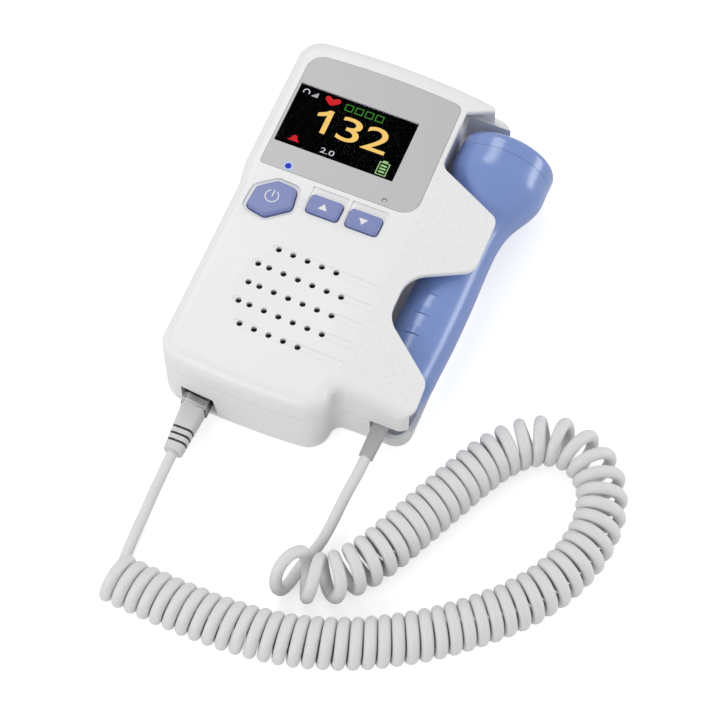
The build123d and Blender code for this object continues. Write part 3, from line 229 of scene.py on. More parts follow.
class Finish:
    """One material while it is mixed: its shader, and the nodes that feed it."""

    def __init__(self, name, colour, roughness, **sockets):
        self.material = bpy.data.materials.new(name)
        self.material.use_nodes = True
        self.tree = self.material.node_tree
        self.shader = self.tree.nodes["Principled BSDF"]
        self.colour = (*colour, 1.0)
        self.set(**{"Base Color": self.colour, "Roughness": roughness}, **sockets)
        self.places = self.add("ShaderNodeTexCoord", output="Object")

    def set(self, **sockets):
        for name, value in sockets.items():
            self.shader.inputs[name.replace("_", " ")].default_value = value

    def add(self, kind, settings=None, inputs=(), output=0):
        """Adds a node of this kind with its settings and the values or links of its sockets."""
        node = self.tree.nodes.new(kind)
        for name, value in (settings or {}).items():
            setattr(node, name, value)
        pairs = inputs.items() if isinstance(inputs, dict) else enumerate(inputs)
        for name, value in pairs:
            if isinstance(value, Value):
                self.tree.links.new(value.socket, node.inputs[name])
            else:
                node.inputs[name].default_value = value
        return Value(self, node.outputs[output])

    def feed(self, socket, value):
        self.tree.links.new(value.socket, self.shader.inputs[socket])

    def noise(self, scale, detail=2.0, places=None):
        """Soft noise from 0 to 1, with `scale` waves to the metre."""
        return self.add("ShaderNodeTexNoise", None,
                        {"Vector": places or self.places, "Scale": scale, "Detail": detail})

    def stretched(self, scale):
        """The object's places, stretched by these factors along X, Y and Z."""
        return self.add("ShaderNodeMapping", None, {"Vector": self.places, "Scale": scale})

    def mixed(self, factor, first, second):
        """A colour between two colours."""
        return self.add("ShaderNodeMix", {"data_type": "RGBA", "clamp_factor": True},
                        {0: factor, 6: first, 7: second}, output=2)

    def shaded(self, factor, amount):
        """The finish's own colour, a little darker where the factor is high."""
        darker = tuple(c * (1 - amount) for c in self.colour[:3]) + (1.0,)
        self.feed("Base Color", self.mixed(factor, self.colour, darker))

    def relief(self, height, distance, strength=0.6):
        self.feed("Normal", self.add("ShaderNodeBump", None,
                                     {"Strength": strength, "Distance": distance, "Height": height}))


def moulded(name, colour, roughness=0.4, grain=2600.0, depth=0.00003, variation=0.04, **sockets):
    """Moulded plastic: fine spark-eroded grain, with a broad drift in colour and gloss."""
    finish = Finish(name, colour, roughness, **sockets)
    drift = finish.noise(35.0, 3.0)
    fine = finish.noise(grain, 3.0)
    finish.shaded(drift * 0.7 + fine * 0.3, variation)
    finish.feed("Roughness", roughness - 0.05 + drift * 0.06 + fine * 0.04)
    finish.relief(fine, depth)
    return finish.material


def soft_plastic(name, colour, roughness=0.5):
    """Soft PVC or rubber: a satin skin with shallow flow marks."""
    finish = Finish(name, colour, roughness, **{"Sheen Weight": 0.12, "Sheen Roughness": 0.4})
    drift = finish.noise(60.0, 4.0)
    skin = finish.noise(900.0, 5.0)
    finish.shaded(drift * 0.6 + skin * 0.4, 0.06)
    finish.feed("Roughness", roughness - 0.06 + skin * 0.12)
    finish.relief(skin, 0.00004, 0.5)
    return finish.material


def pearl_plastic(name, colour, roughness=0.3):
    """Glossy pearl plastic: a clear coat over a fine shimmer."""
    finish = Finish(name, colour, roughness, **{
        "Coat Weight": 0.45, "Coat Roughness": 0.16, "Sheen Weight": 0.25,
        "Sheen Roughness": 0.35, "Sheen Tint": (0.62, 0.52, 0.92, 1.0)})
    drift = finish.noise(28.0, 3.0)
    shimmer = finish.noise(5200.0, 2.0)
    paler = tuple(min(1.0, c * 1.12 + 0.01) for c in colour) + (1.0,)
    deeper = tuple(c * 0.92 for c in colour) + (1.0,)
    finish.feed("Base Color", finish.mixed(drift * 0.6 + shimmer * 0.4, deeper, paler))
    finish.feed("Roughness", roughness - 0.04 + shimmer * 0.08)
    finish.relief(finish.noise(160.0, 2.0), 0.00004, 0.35)
    return finish.material


def metal(name, colour, roughness):
    """Plated metal with fine drawing marks."""
    finish = Finish(name, colour, roughness, Metallic=1.0)
    marks = finish.noise(900.0, 4.0, finish.stretched((1.0, 1.0, 12.0)))
    stain = finish.noise(120.0, 3.0)
    finish.shaded(stain, 0.15)
    finish.feed("Roughness", roughness + marks * 0.14)
    finish.relief(marks, 0.00002, 0.4)
    return finish.material


def circuit_board(name, mask, copper):
    """Solder mask over faint tracks, with a fine weave of glass below."""
    finish = Finish(name, mask, 0.32, **{"Coat Weight": 0.3, "Coat Roughness": 0.2})
    tracks = finish.add(
        "ShaderNodeTexBrick", {"offset": 0.35, "squash": 1.6},
        {"Vector": finish.places, "Color1": (0, 0, 0, 1), "Color2": (0.35, 0.35, 0.35, 1),
         "Mortar": (1, 1, 1, 1), "Scale": 330.0, "Mortar Size": 0.05}, output="Color")
    weave = finish.noise(1800.0, 2.0, finish.stretched((1.0, 3.0, 1.0)))
    finish.feed("Base Color", finish.mixed(tracks * 0.5 + weave * 0.15, finish.colour,
                                           (*copper, 1.0)))
    finish.relief(tracks, 0.00003, 0.5)
    return finish.material


def clear_plastic(name, colour, roughness, ior, mist):
    """Clear moulded plastic with faint flow lines."""
    finish = Finish(name, colour, roughness, **{"Transmission Weight": 1.0, "IOR": ior})
    lines = finish.noise(140.0, 2.0)
    finish.feed("Roughness", roughness + lines * mist)
    return finish.material


def printed(name, colour, glow=0.0):
    """A flat ink, or a segment that is black until it lights, with the fine dither of its screen."""
    finish = Finish(name, colour, 0.55, **{"Specular IOR Level": 0.0})
    dither = finish.noise(3000.0, 1.0)
    if glow:
        darker = tuple(c * 0.94 for c in colour) + (1.0,)
        finish.feed("Emission Color", finish.mixed(dither, finish.colour, darker))
        finish.set(**{"Base Color": (0.0, 0.0, 0.0, 1.0), "Emission Strength": glow})
    else:
        finish.shaded(dither, 0.08)
    return finish.material


def dress(finish, *nodes):
    """Gives a finish to parts of the model by name."""
    for name in nodes:
        for holder in NODES[name].material_slots:
            holder.material = finish


# ---- shapes ----

def new_piece(name, mesh, finish, body=None):
    """A finished mesh becomes a piece, which rides on a body if one is named."""
    piece = bpy.data.objects.new(name, mesh)
    bpy.context.scene.collection.objects.link(piece)
    mesh.materials.clear()
    mesh.materials.append(finish)
    if body:
        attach(piece, body)
    return piece


def spline_of(name, points, steps, thickness=0.0, swell=()):
    """The mesh of one smooth open spline: its line, or the round tube along it."""
    curve = bpy.data.curves.new(name, "CURVE")
    curve.dimensions = "3D"
    curve.resolution_u = steps
    curve.bevel_depth = thickness / 2
    curve.bevel_resolution = 4
    curve.use_fill_caps = True
    spline = curve.splines.new("NURBS")
    spline.points.add(len(points) - 1)
    for knot, place in zip(spline.points, points):
        knot.co = (*place, 1.0)
    for knot, factor in zip(spline.points, swell):
        knot.radius = factor
    spline.order_u = 3
    spline.use_endpoint_u = True
    holder = bpy.data.objects.new(name, curve)
    mesh = bpy.data.meshes.new_from_object(holder)
    bpy.data.objects.remove(holder)
    bpy.data.curves.remove(curve)
    return mesh


def line_of(points, steps=16):
    """Points along the smooth open spline, and how far along it each one is."""
    line = [v.co.copy() for v in spline_of("route", points, steps).vertices]
    far = [0.0]
    for here, there in zip(line, line[1:]):
        far.append(far[-1] + (there - here).length)
    return line, far


def outline(name, points, depth, smooth=False, holes=()):
    """A flat outline, filled and given a thickness."""
    curve = bpy.data.curves.new(name, "CURVE")
    curve.dimensions = "2D"
    curve.fill_mode = "BOTH"
    curve.extrude = depth / 2
    for ring in (points, *holes):
        spline = curve.splines.new("NURBS" if smooth else "POLY")
        spline.points.add(len(ring) - 1)
        for knot, (x, y) in zip(spline.points, ring):
            knot.co = (x, y, 0.0, 1.0)
        spline.use_cyclic_u = True
        if smooth:
            spline.order_u = 3
    return as_mesh(name, curve)


def lettering(name, words, width, height, depth, bold=0.0):
    """Plain figures of this size, centred, as a mesh with a thickness."""
    curve = bpy.data.curves.new(name, "FONT")
    curve.body = words
    curve.size = height / 0.72
    curve.extrude = depth / 2
    curve.offset = bold
    mesh = as_mesh(name, curve)
    across = [v.co.x for v in mesh.vertices]
    upright = [v.co.y for v in mesh.vertices]
    middle = Matrix.Translation((-(min(across) + max(across)) / 2, -(min(upright) + max(upright)) / 2, 0))
    fit = Matrix.Diagonal((width / (max(across) - min(across)),
                           height / (max(upright) - min(upright)), 1.0, 1.0))
    mesh.transform(fit @ middle)
    return mesh


def as_mesh(name, curve):
    """A curve's mesh, with its doubles merged and its faces outwards."""
    holder = bpy.data.objects.new(name, curve)
    mesh = bpy.data.meshes.new_from_object(holder)
    bpy.data.objects.remove(holder)
    shape = bmesh.new()
    shape.from_mesh(mesh)
    bmesh.ops.remove_doubles(shape, verts=shape.verts, dist=1e-7)
    bmesh.ops.recalc_face_normals(shape, faces=shape.faces)
    shape.to_mesh(mesh)
    shape.free()
    return mesh


def placed(mesh, x, y, z, turn=0.0):
    """Puts a flat mesh at a place on the unit, in millimetres."""
    mesh.transform(Matrix.Translation((x * MM, y * MM, z * MM)) @ Matrix.Rotation(turn, 4, "Z"))
    return mesh


def ring_arc(outer, inner, start, end, steps=36):
    """An open ring's outline: along its outside and back along its inside."""
    turns = [radians(start + (end - start) * i / steps) for i in range(steps + 1)]
    return ([(outer * cos(a), outer * sin(a)) for a in turns]
            + [(inner * cos(a), inner * sin(a)) for a in reversed(turns)])


def rectangle(x, y, width, height):
    return [(x - width / 2, y - height / 2), (x + width / 2, y - height / 2),
            (x + width / 2, y + height / 2), (x - width / 2, y + height / 2)]


def scaled(points):
    """Points in millimetres, as metres."""
    return [(x * MM, y * MM) for x, y in points]


# ---- operators ----

class DOPPLER_OT_stage(bpy.types.Operator):
    """Sets up the camera, the lamps, the room and the floor"""
    bl_idname = "doppler.stage"
    bl_label = "Stage"

    def execute(self, context):
        scene = context.scene
        scene.view_settings.view_transform = "Standard"
        self.camera(scene)
        light = scene.doppler_stage
        self.lamp("softbox_above", light.key_lamp, 0.5, 0.5, (-0.57, 0.52, 1.04))
        self.lamp("softbox_front", light.front_lamp, 0.6, 0.5, (-0.35, -0.9, 0.6))
        self.lamp("strip_right", light.side_lamp, 0.55, 0.3, (0.9, 0.4, 0.2))
        self.room(scene, light.room)
        self.floor(scene)
        return {"FINISHED"}

    def camera(self, scene):
        lens = bpy.data.cameras.new("camera")
        lens.sensor_width = 36.0
        lens.lens = 130.0
        lens.clip_start = 0.02
        lens.clip_end = 50.0
        camera = bpy.data.objects.new("camera", lens)
        scene.collection.objects.link(camera)
        turn, rise = radians(CAMERA_TURN), radians(CAMERA_RISE)
        back = Vector((sin(turn) * cos(rise), -cos(turn) * cos(rise), sin(rise)))
        camera.location = Vector(CAMERA_TARGET) + back * CAMERA_DISTANCE
        camera.rotation_euler = back.to_track_quat("Z", "Y").to_euler()
        scene.camera = camera

    def lamp(self, name, power, width, height, place):
        """A softbox that faces the object."""
        data = bpy.data.lights.new(name, "AREA")
        data.energy = power
        data.shape = "RECTANGLE"
        data.size = width
        data.size_y = height
        lamp = bpy.data.objects.new(name, data)
        bpy.context.scene.collection.objects.link(lamp)
        lamp.location = place
        away = Vector(place) - Vector(LAMP_TARGET)
        lamp.rotation_euler = away.to_track_quat("Z", "Y").to_euler()

    def room(self, scene, strength):
        world = bpy.data.worlds.new("room")
        scene.world = world
        world.use_nodes = True
        nodes, links = world.node_tree.nodes, world.node_tree.links
        rays = nodes.new("ShaderNodeLightPath")
        both = nodes.new("ShaderNodeMath")
        both.operation = "MAXIMUM"
        all_three = nodes.new("ShaderNodeMath")
        all_three.operation = "MAXIMUM"
        links.new(rays.outputs["Is Camera Ray"], both.inputs[0])
        links.new(rays.outputs["Is Glossy Ray"], both.inputs[1])
        links.new(both.outputs[0], all_three.inputs[0])
        links.new(rays.outputs["Is Transmission Ray"], all_three.inputs[1])
        level = nodes.new("ShaderNodeMapRange")
        level.inputs["To Min"].default_value = strength
        level.inputs["To Max"].default_value = 1.0
        links.new(all_three.outputs[0], level.inputs["Value"])
        background = nodes["Background"]
        background.inputs["Color"].default_value = (1.0, 1.0, 1.0, 1.0)
        links.new(level.outputs["Result"], background.inputs["Strength"])

    def floor(self, scene):
        mesh = bpy.data.meshes.new("floor")
        shape = bmesh.new()
        bmesh.ops.create_grid(shape, x_segments=1, y_segments=1, size=4.0)
        bmesh.ops.translate(shape, verts=shape.verts, vec=(0.0, 0.0, -0.0001))
        shape.to_mesh(mesh)
        shape.free()
        floor = bpy.data.objects.new("floor", mesh)
        scene.collection.objects.link(floor)
        finish = Finish("floor_paper", (0.86, 0.86, 0.86), 0.9)
        finish.shaded(finish.noise(40.0, 2.0), 0.01)
        finish.set(**{"Specular IOR Level": 0.0})
        nodes, links = finish.tree.nodes, finish.tree.links
        rays = nodes.new("ShaderNodeLightPath")
        glow = nodes.new("ShaderNodeEmission")
        total = nodes.new("ShaderNodeAddShader")
        links.new(rays.outputs["Is Camera Ray"], glow.inputs["Strength"])
        glow.inputs["Color"].default_value = (0.52, 0.52, 0.52, 1.0)
        links.new(finish.shader.outputs[0], total.inputs[0])
        links.new(glow.outputs[0], total.inputs[1])
        links.new(total.outputs[0], nodes["Material Output"].inputs["Surface"])
        mesh.materials.append(finish.material)


class DOPPLER_OT_coiled_cord(bpy.types.Operator):
    """Winds the coiled cord from the probe's strain relief to the plug's lead"""
    bl_idname = "doppler.coiled_cord"
    bl_label = "Coiled cord"

    def execute(self, context):
        size = context.scene.doppler_cord
        turns = self.turns(size)
        route = [Vector(p) for p in PROBE_LEAD + FIRST_LOOP] + turns
        jacket = soft_plastic("cord_jacket", size.colour)
        thicker = size.coiled_diameter / size.diameter
        swell = [1.0] * len(PROBE_LEAD)
        wound = len(route) - len(PROBE_LEAD)
        swell += [1 + (thicker - 1) * min(1, n / SWELL_IN, (wound - n) / SWELL_OUT)
                  for n in range(1, wound + 1)]
        mesh = spline_of("coiled_cord", route, 3, size.diameter, swell)
        mesh.shade_smooth()
        cord = new_piece("coiled_cord", mesh, jacket)
        path = [v.co[:] for v in spline_of("coiled_path", route, 3).vertices]
        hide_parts("cord_coil", "cord_probe_lead")
        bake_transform(cord)
        self.plug_lead(size, turns[-2:], jacket)
        return {"FINISHED"}

    def turns(self, size):
        """The coil's control points: round its axis, crowded where it bends and loose at the probe."""
        axis, far = line_of(COIL_AXIS)
        directions = [(axis[min(i + 1, len(axis) - 1)] - axis[max(i - 1, 0)]).normalized()
                      for i in range(len(axis))]
        end = far[-1] - COIL_STOP
        phase = [0.0]
        for i in range(1, len(axis)):
            step = far[i] - far[i - 1]
            bend = directions[i].angle(directions[i - 1]) / step
            closest = size.coiled_diameter * TURN_GAP / max(0.5, 1 - size.turn_radius * bend)
            loose = max(0.0, 1 - far[i] / LOOSE_RUN)
            pitch = size.pitch + (size.first_pitch - size.pitch) * loose
            phase.append(phase[-1] + 2 * pi * step / max(pitch, closest))
        whole = phase[next(i for i, s in enumerate(far) if s >= end)]
        rounds = round((whole + FIRST_ANGLE - LAST_ANGLE) / (2 * pi))
        scale = (rounds * 2 * pi + LAST_ANGLE - FIRST_ANGLE) / whole
        steps = round(whole * scale / (2 * pi) * size.points_per_turn)
        points = []
        i = 0
        for n in range(steps + 1):
            wanted = whole * n / steps
            while i < len(phase) - 2 and phase[i + 1] < wanted:
                i += 1
            share = (wanted - phase[i]) / (phase[i + 1] - phase[i])
            place = axis[i].lerp(axis[i + 1], share)
            direction = directions[i].lerp(directions[i + 1], share).normalized()
            side = Vector((0, 0, 1)).cross(direction).normalized()
            angle = FIRST_ANGLE + wanted * scale
            uneven = 1 + 0.012 * sin(wanted * 0.37) + 0.008 * sin(wanted * 0.83 + 1)
            radius = size.turn_radius / CURVE_SHRINK * min(1.0, uneven)
            points.append(place + side * (radius * cos(angle))
                          - Vector((0, 0, radius * sin(angle))))
        return points

    def plug_lead(self, size, last_turn, jacket):
        """The straight lead from the coil's last turn into the plug's boot."""
        before, joint = last_turn
        onward = joint + (joint - before)
        route = [joint, onward] + [Vector(p) for p in reversed(PLUG_LEAD)]
        mesh = spline_of("plug_lead", route, 6, size.diameter)
        mesh.shade_smooth()
        lead = new_piece("plug_lead", mesh, jacket)
        path = [v.co[:] for v in spline_of("plug_path", route, 6).vertices]
        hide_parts("cord_plug_lead")
        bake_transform(lead)


class DOPPLER_OT_housing(bpy.types.Operator):
    """Finishes the shells, the battery door and the screws"""
    bl_idname = "doppler.housing"
    bl_label = "Housing"

    def execute(self, context):
        shell = context.scene.doppler_housing.shell
        dress(moulded("white_shell", shell, 0.36, 2400.0, 0.00003, 0.03), "front_housing")
        dress(moulded("white_tray", shell, 0.42, 2000.0, 0.00004, 0.04), "rear_housing")
        dress(moulded("white_door", shell, 0.42, 2000.0, 0.00004, 0.04), "battery_door")
        dress(metal("screw_steel", linear(150, 150, 155), 0.3), "housing_screws")
        return {"FINISHED"}


class DOPPLER_OT_wing_dots(bpy.types.Operator):
    """Seats the low grip dots on the two wings over the dock"""
    bl_idname = "doppler.wing_dots"
    bl_label = "Grip dots"

    def execute(self, context):
        size = context.scene.doppler_housing
        shell = NODES["front_housing"].data
        skin = BVHTree.FromPolygons([v.co for v in shell.vertices],
                                    [tuple(p.vertices) for p in shell.polygons])
        shape = bmesh.new()
        pitch = size.dot_pitch
        for row in range(-30, 31):
            for column in range(-2, 24):
                x = DOT_GRID_LEFT + (column + 0.5 * (row % 2)) * pitch
                y = row * pitch / 2
                seat = self.seat(skin, x, y)
                if seat:
                    self.dome(shape, size, *seat)
        mesh = bpy.data.meshes.new("wing_dots")
        shape.to_mesh(mesh)
        shape.free()
        mesh.shade_smooth()
        dots = moulded("dot_white", size.shell, 0.3, 2400.0, 0.00002, 0.02)
        new_piece("wing_dots", mesh, dots, "housing")
        return {"FINISHED"}

    def seat(self, skin, x, y):
        """Where a dot stands: on the wing's top, clear of its edge, its fold and the plain margins."""
        if not (DOT_FIELD_LOW < y < DOT_FIELD_TOP) or x < DOT_FIELD_LEFT:
            return None
        place, normal, _, _ = skin.ray_cast(Vector((x, y, CAST_FROM)), Vector((0, 0, -1)))
        if place is None or place.z < LOWEST_SEAT or normal.z < STEEPEST_SEAT:
            return None
        for turn in range(8):
            rim = Vector((x + DOT_MARGIN * cos(turn * pi / 4),
                          y + DOT_MARGIN * sin(turn * pi / 4), CAST_FROM))
            edge, slope, _, _ = skin.ray_cast(rim, Vector((0, 0, -1)))
            if edge is None or abs(edge.z - place.z) > DOT_STEP or slope.z < STEEPEST_SEAT:
                return None
        return place, normal

    def dome(self, shape, size, place, normal):
        """A low dome, seated a little into the wing."""
        made = bmesh.ops.create_uvsphere(shape, u_segments=8, v_segments=6,
                                         radius=size.dot_diameter / 2)
        flat = Matrix.Diagonal((1.0, 1.0, size.dot_height / (size.dot_diameter / 2), 1.0))
        stand = normal.to_track_quat("Z", "Y").to_matrix().to_4x4()
        bmesh.ops.transform(shape, matrix=Matrix.Translation(place) @ stand @ flat,
                            verts=made["verts"])


class DOPPLER_OT_display(bpy.types.Operator):
    """Finishes the panel and the screen, and lights the figures on it"""
    bl_idname = "doppler.display"
    bl_label = "Display"

    def execute(self, context):
        colours = context.scene.doppler_housing
        dress(self.panel(colours.panel), "display_overlay")
        dress(clear_plastic("screen_pane", (0.94, 0.95, 0.97), 0.0, 1.02, 0.01), "display_lens")
        dress(printed("screen_black", linear(7, 7, 9)), "lcd_module")
        dress(moulded("cradle_white", linear(222, 222, 220), 0.5), "lcd_cradle")
        dress(printed("light_blue", linear(58, 74, 205), 0.85), "led_light_pipe")
        dress(moulded("sensor_pale", linear(205, 206, 210), 0.25), "sensor_lens")
        self.figures(colours)
        return {"FINISHED"}

    def panel(self, grey):
        """The satin grey panel, with a painted pale blue glow of its small light round it."""
        finish = Finish("panel_grey", grey, 0.34, **{"Coat Weight": 0.2, "Coat Roughness": 0.25})
        fine = finish.noise(3400.0, 3.0)
        away = finish.add("ShaderNodeVectorMath", {"operation": "DISTANCE"},
                          (finish.places, LIGHT_PLACE), output="Value")
        darker = tuple(c * 0.95 for c in grey) + (1.0,)
        plain = finish.mixed(fine, finish.colour, darker)
        # painted light: a pale blue pool of the small light's glow, painted into the panel's colour round
        # LIGHT_PLACE
        glow = (*linear(178, 200, 246), 1.0)
        finish.feed("Base Color", finish.mixed(2.8 - away * 1300, plain, glow))
        finish.feed("Roughness", 0.31 + fine * 0.06)
        finish.relief(fine, 0.00002)
        return finish.material

    def figures(self, colours):
        thin = 0.02 * MM
        level = 35.04
        amber = printed("digit_amber", colours.digits, 1.0)
        white = printed("figure_white", linear(225, 228, 232), 0.9)
        green = printed("figure_green", linear(72, 158, 56), 0.8)
        pale = printed("figure_pale", linear(178, 226, 150), 0.9)
        red = printed("figure_red", linear(225, 45, 50), 0.9)
        one = [(1.7, -5.15), (3.7, -5.15), (3.7, 5.15), (2.1, 5.15), (0.7, 3.9), (-1.75, 2.7),
               (-1.75, 1.2), (0.5, 1.9), (1.7, 2.7)]
        self.lit("digit_1", placed(outline("digit", scaled(one), thin), -33.4, 38.25, level), amber)
        for digit, x, width in (("3", -21.6, 8.35), ("2", -11.0, 9.4)):
            mesh = lettering("digit", digit, width * MM, 10.3 * MM, thin, 0.06 * MM)
            self.lit("digit_" + digit, placed(mesh, x, 38.25, level), amber)
        small = lettering("small_number", "2.0", 5.4 * MM, 2.2 * MM, thin)
        self.lit("small_number", placed(small, -25.7, 26.7, level), white)
        heart = [(0, -1.9), (1.7, -0.7), (3.2, 0.5), (2.7, 1.9), (1.2, 1.9), (0, 0.9),
                 (-1.2, 1.9), (-2.7, 1.9), (-3.2, 0.5), (-1.7, -0.7)]
        self.lit("heart", placed(outline("heart", scaled(heart), thin, smooth=True),
                                 -32.2, 47.0, level), red)
        bell = [(-2.5, -1.35), (2.5, -1.35), (1.4, -0.5), (0.8, 0.9), (0, 1.35), (-0.8, 0.9),
                (-1.4, -0.5)]
        self.lit("bell", placed(outline("bell", scaled(bell), thin), -39.1, 27.6, level), red)
        for number in range(4):
            block = rectangle(0, 0, 3.1, 2.9)
            gap = rectangle(0, 0, 2.4, 2.2)
            mesh = outline("level_block", scaled(block), thin, holes=[scaled(gap)])
            self.lit(f"level_block_{number + 1}",
                     placed(mesh, -25.4 + 4.0 * number, 46.9, level), green)
        for number in range(4):
            height = 0.5 + 0.5 * number
            bar = rectangle(0, height / 2, 0.4, height)
            self.lit(f"signal_bar_{number + 1}",
                     placed(outline("signal_bar", scaled(bar), thin),
                            -40.15 + 0.62 * number, 46.4, level), white)
        ring = outline("ear_ring", scaled(ring_arc(1.35, 0.95, -30, 210)), thin)
        self.lit("ear_ring", placed(ring, -42.7, 47.4, level), white)
        case = outline("charge_case", scaled(rectangle(0, 0, 4.1, 5.5)), thin,
                       holes=[scaled(rectangle(0, 0, 3.4, 4.8))])
        self.lit("charge_case", placed(case, -4.4, 27.8, level), pale)
        self.lit("charge_tip", placed(outline("charge_tip", scaled(rectangle(0, 0, 1.9, 0.6)), thin),
                                      -4.4, 30.95, level), pale)
        for number in range(3):
            bar = outline("charge_bar", scaled(rectangle(0, 0, 2.4, 0.7)), thin)
            self.lit(f"charge_bar_{number + 1}",
                     placed(bar, -4.4, 26.5 + 1.3 * number, level), pale)

    def lit(self, name, mesh, finish):
        new_piece(name, mesh, finish, "housing")


class DOPPLER_OT_keys(bpy.types.Operator):
    """Finishes the keys and prints their white symbols"""
    bl_idname = "doppler.keys"
    bl_label = "Keys"

    def execute(self, context):
        blue = context.scene.doppler_housing.key
        plastic = moulded("key_blue", blue, 0.36, 2600.0, 0.00002, 0.05,
                          **{"Coat Weight": 0.15, "Coat Roughness": 0.3})
        dress(plastic, "power_button", "up_button", "down_button")
        ink = printed("symbol_white", linear(240, 240, 244))
        thin = 0.05 * MM
        top = 37.31
        ring = outline("power_ring", scaled(ring_arc(2.65, 2.25, 118, 422)), thin)
        new_piece("power_ring", placed(ring, -36.5, 1.0, top), ink, "power_key")
        bar = outline("power_bar", scaled(rectangle(0, 0, 0.45, 2.9)), thin)
        new_piece("power_bar", placed(bar, -36.4, 2.2, top), ink, "power_key")
        arrow = scaled([(-1.75, -1.2), (1.75, -1.2), (0, 1.35)])
        up = outline("up_arrow", arrow, thin)
        new_piece("up_arrow", placed(up, -17.5, 3.75, top), ink, "up_key")
        down = outline("down_arrow", arrow, thin)
        new_piece("down_arrow", placed(down, -2.2, 3.65, top, pi), ink, "down_key")
        dress(moulded("switch_black", linear(38, 38, 40), 0.45), "tact_switches")
        return {"FINISHED"}


class DOPPLER_OT_plug(bpy.types.Operator):
    """Finishes the clear plug, its contacts, its boot and the sockets"""
    bl_idname = "doppler.plug"
    bl_label = "Plug and sockets"

    def execute(self, context):
        dress(clear_plastic("plug_clear", (0.95, 0.96, 0.96), 0.0, 1.35, 0.04), "plug_body")
        dress(metal("contact_gold", linear(214, 176, 92), 0.24), "plug_contacts")
        dress(self.sleeve(), "plug_boot")
        dress(moulded("socket_black", linear(26, 26, 28), 0.5), "modular_jack")
        dress(moulded("jack_black", linear(30, 30, 32), 0.45), "earphone_jack")
        dress(soft_plastic("flex_white", linear(214, 210, 200)), "flex_cable")
        dress(circuit_board("socket_board", linear(24, 84, 52), linear(150, 130, 70)), "io_board")
        return {"FINISHED"}

    def sleeve(self):
        """Pale soft PVC, with painted shade down in the boot's three relief grooves."""
        finish = Finish("boot_grey", linear(212, 212, 212), 0.5)
        skin = finish.noise(900.0, 5.0)
        along = finish.add("ShaderNodeSeparateXYZ", None, (finish.places,), output="Y")
        # painted shade: each groove's bottom is darkened where shade falls in it
        groove_shade = sum(along.math("COMPARE", along, GROOVE_Y + GROOVE_PITCH * number, GROOVE_SHADE_REACH)
                      for number in range(3))
        darker = (*linear(120, 120, 120), 1.0)
        finish.feed("Base Color", finish.mixed(groove_shade + skin * 0.04, finish.colour, darker))
        finish.feed("Roughness", 0.46 + skin * 0.1)
        finish.relief(skin, 0.00004, 0.5)
        return finish.material


class DOPPLER_OT_probe(bpy.types.Operator):
    """Finishes the probe, its cap, its inside parts and its strain relief"""
    bl_idname = "doppler.probe"
    bl_label = "Probe"

    def execute(self, context):
        colours = context.scene.doppler_probe
        dress(pearl_plastic("probe_blue", colours.body), "probe_upper_shell", "probe_lower_shell")
        dress(pearl_plastic("cap_blue", colours.body, 0.26), "transducer_cap")
        dress(soft_plastic("relief_grey", colours.relief), "probe_strain_relief")
        dress(metal("crystal_silver", linear(190, 188, 180), 0.4), "piezo_crystals")
        dress(soft_plastic("backing_grey", linear(92, 92, 90), 0.7), "acoustic_backing")
        dress(circuit_board("probe_board", linear(24, 84, 52), linear(150, 130, 70)),
              "probe_board")
        return {"FINISHED"}


class DOPPLER_OT_electronics(bpy.types.Operator):
    """Finishes the boards, the chips and the speaker"""
    bl_idname = "doppler.electronics"
    bl_label = "Electronics"

    def execute(self, context):
        dress(circuit_board("main_board", linear(20, 92, 56), linear(160, 140, 80)), "main_board")
        dress(moulded("chip_black", linear(34, 34, 36), 0.6, 4200.0), "controller_chips")
        dress(metal("board_screw", linear(170, 168, 160), 0.3), "board_screws")
        dress(metal("basket_black", linear(48, 48, 50), 0.45), "speaker_frame")
        dress(soft_plastic("cone_paper", linear(52, 48, 44), 0.8), "speaker_cone")
        dress(metal("magnet_plated", linear(160, 160, 158), 0.35), "speaker_magnet")
        dress(self.cloth(), "speaker_mesh")
        return {"FINISHED"}

    def cloth(self):
        """A thin black cloth behind the speaker's holes."""
        finish = Finish("mesh_black", linear(14, 14, 15), 0.9)
        across = finish.add("ShaderNodeTexWave", {"bands_direction": "X"},
                            {"Vector": finish.places, "Scale": 900.0})
        along = finish.add("ShaderNodeTexWave", {"bands_direction": "Y"},
                           {"Vector": finish.places, "Scale": 900.0})
        weave = across * along
        finish.feed("Base Color", finish.mixed(weave, finish.colour, (*linear(34, 34, 36), 1.0)))
        finish.relief(weave, 0.0001)
        return finish.material


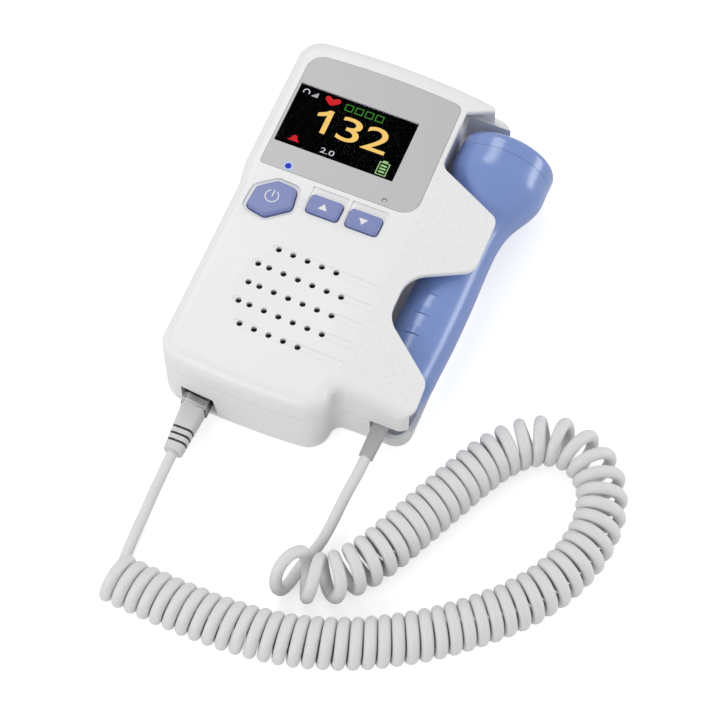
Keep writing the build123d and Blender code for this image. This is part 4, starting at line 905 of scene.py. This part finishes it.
class DOPPLER_OT_battery(bpy.types.Operator):
    """Finishes the battery cells, their contacts and their springs"""
    bl_idname = "doppler.battery"
    bl_label = "Battery"

    def execute(self, context):
        finish = Finish("cell_jacket", linear(58, 62, 70), 0.3, **{"Coat Weight": 0.5})
        bands = finish.add("ShaderNodeTexGradient", None,
                           {"Vector": finish.stretched((1.0, 12.0, 1.0))})
        print_noise = finish.noise(300.0, 2.0)
        finish.feed("Base Color", finish.mixed(bands * 0.5 + print_noise * 0.3, finish.colour,
                                               (*linear(150, 152, 156), 1.0)))
        dress(finish.material, "battery_cells")
        dress(metal("contact_steel", linear(186, 184, 176), 0.3), "battery_contacts")
        dress(metal("spring_steel", linear(186, 184, 176), 0.25), "battery_springs")
        return {"FINISHED"}


OPERATORS = (
    DOPPLER_OT_stage, DOPPLER_OT_coiled_cord, DOPPLER_OT_housing, DOPPLER_OT_wing_dots,
    DOPPLER_OT_display, DOPPLER_OT_keys, DOPPLER_OT_plug, DOPPLER_OT_probe,
    DOPPLER_OT_electronics, DOPPLER_OT_battery,
)


class DOPPLER_PT_pieces(bpy.types.Panel):
    """Lists the pieces of the monitor and their sizes"""
    bl_idname = "DOPPLER_PT_pieces"
    bl_label = "Fetal doppler monitor"
    bl_space_type = "VIEW_3D"
    bl_region_type = "UI"
    bl_category = "Doppler"

    def draw(self, context):
        column = self.layout.column()
        for operator in OPERATORS:
            column.operator(operator.bl_idname)
        for group in (context.scene.doppler_cord, context.scene.doppler_housing,
                      context.scene.doppler_probe, context.scene.doppler_stage):
            for name in group.bl_rna.properties.keys():
                if name not in ("rna_type", "name"):
                    column.prop(group, name)


PROPERTIES = {
    "doppler_cord": CordProperties,
    "doppler_housing": HousingProperties,
    "doppler_probe": ProbeProperties,
    "doppler_stage": StageProperties,
}
CLASSES = (*PROPERTIES.values(), *OPERATORS, DOPPLER_PT_pieces)


def register():
    for kind in CLASSES:
        bpy.utils.register_class(kind)
    for name, kind in PROPERTIES.items():
        setattr(bpy.types.Scene, name, PointerProperty(type=kind))


def unregister():
    for name in PROPERTIES:
        delattr(bpy.types.Scene, name)
    for kind in reversed(CLASSES):
        bpy.utils.unregister_class(kind)


def main():
    register()
    bpy.ops.doppler.stage()
    bpy.ops.doppler.coiled_cord()
    bpy.ops.doppler.housing()
    bpy.ops.doppler.wing_dots()
    bpy.ops.doppler.display()
    bpy.ops.doppler.keys()
    bpy.ops.doppler.plug()
    bpy.ops.doppler.probe()
    bpy.ops.doppler.electronics()
    bpy.ops.doppler.battery()


if __name__ == "__main__":
    main()
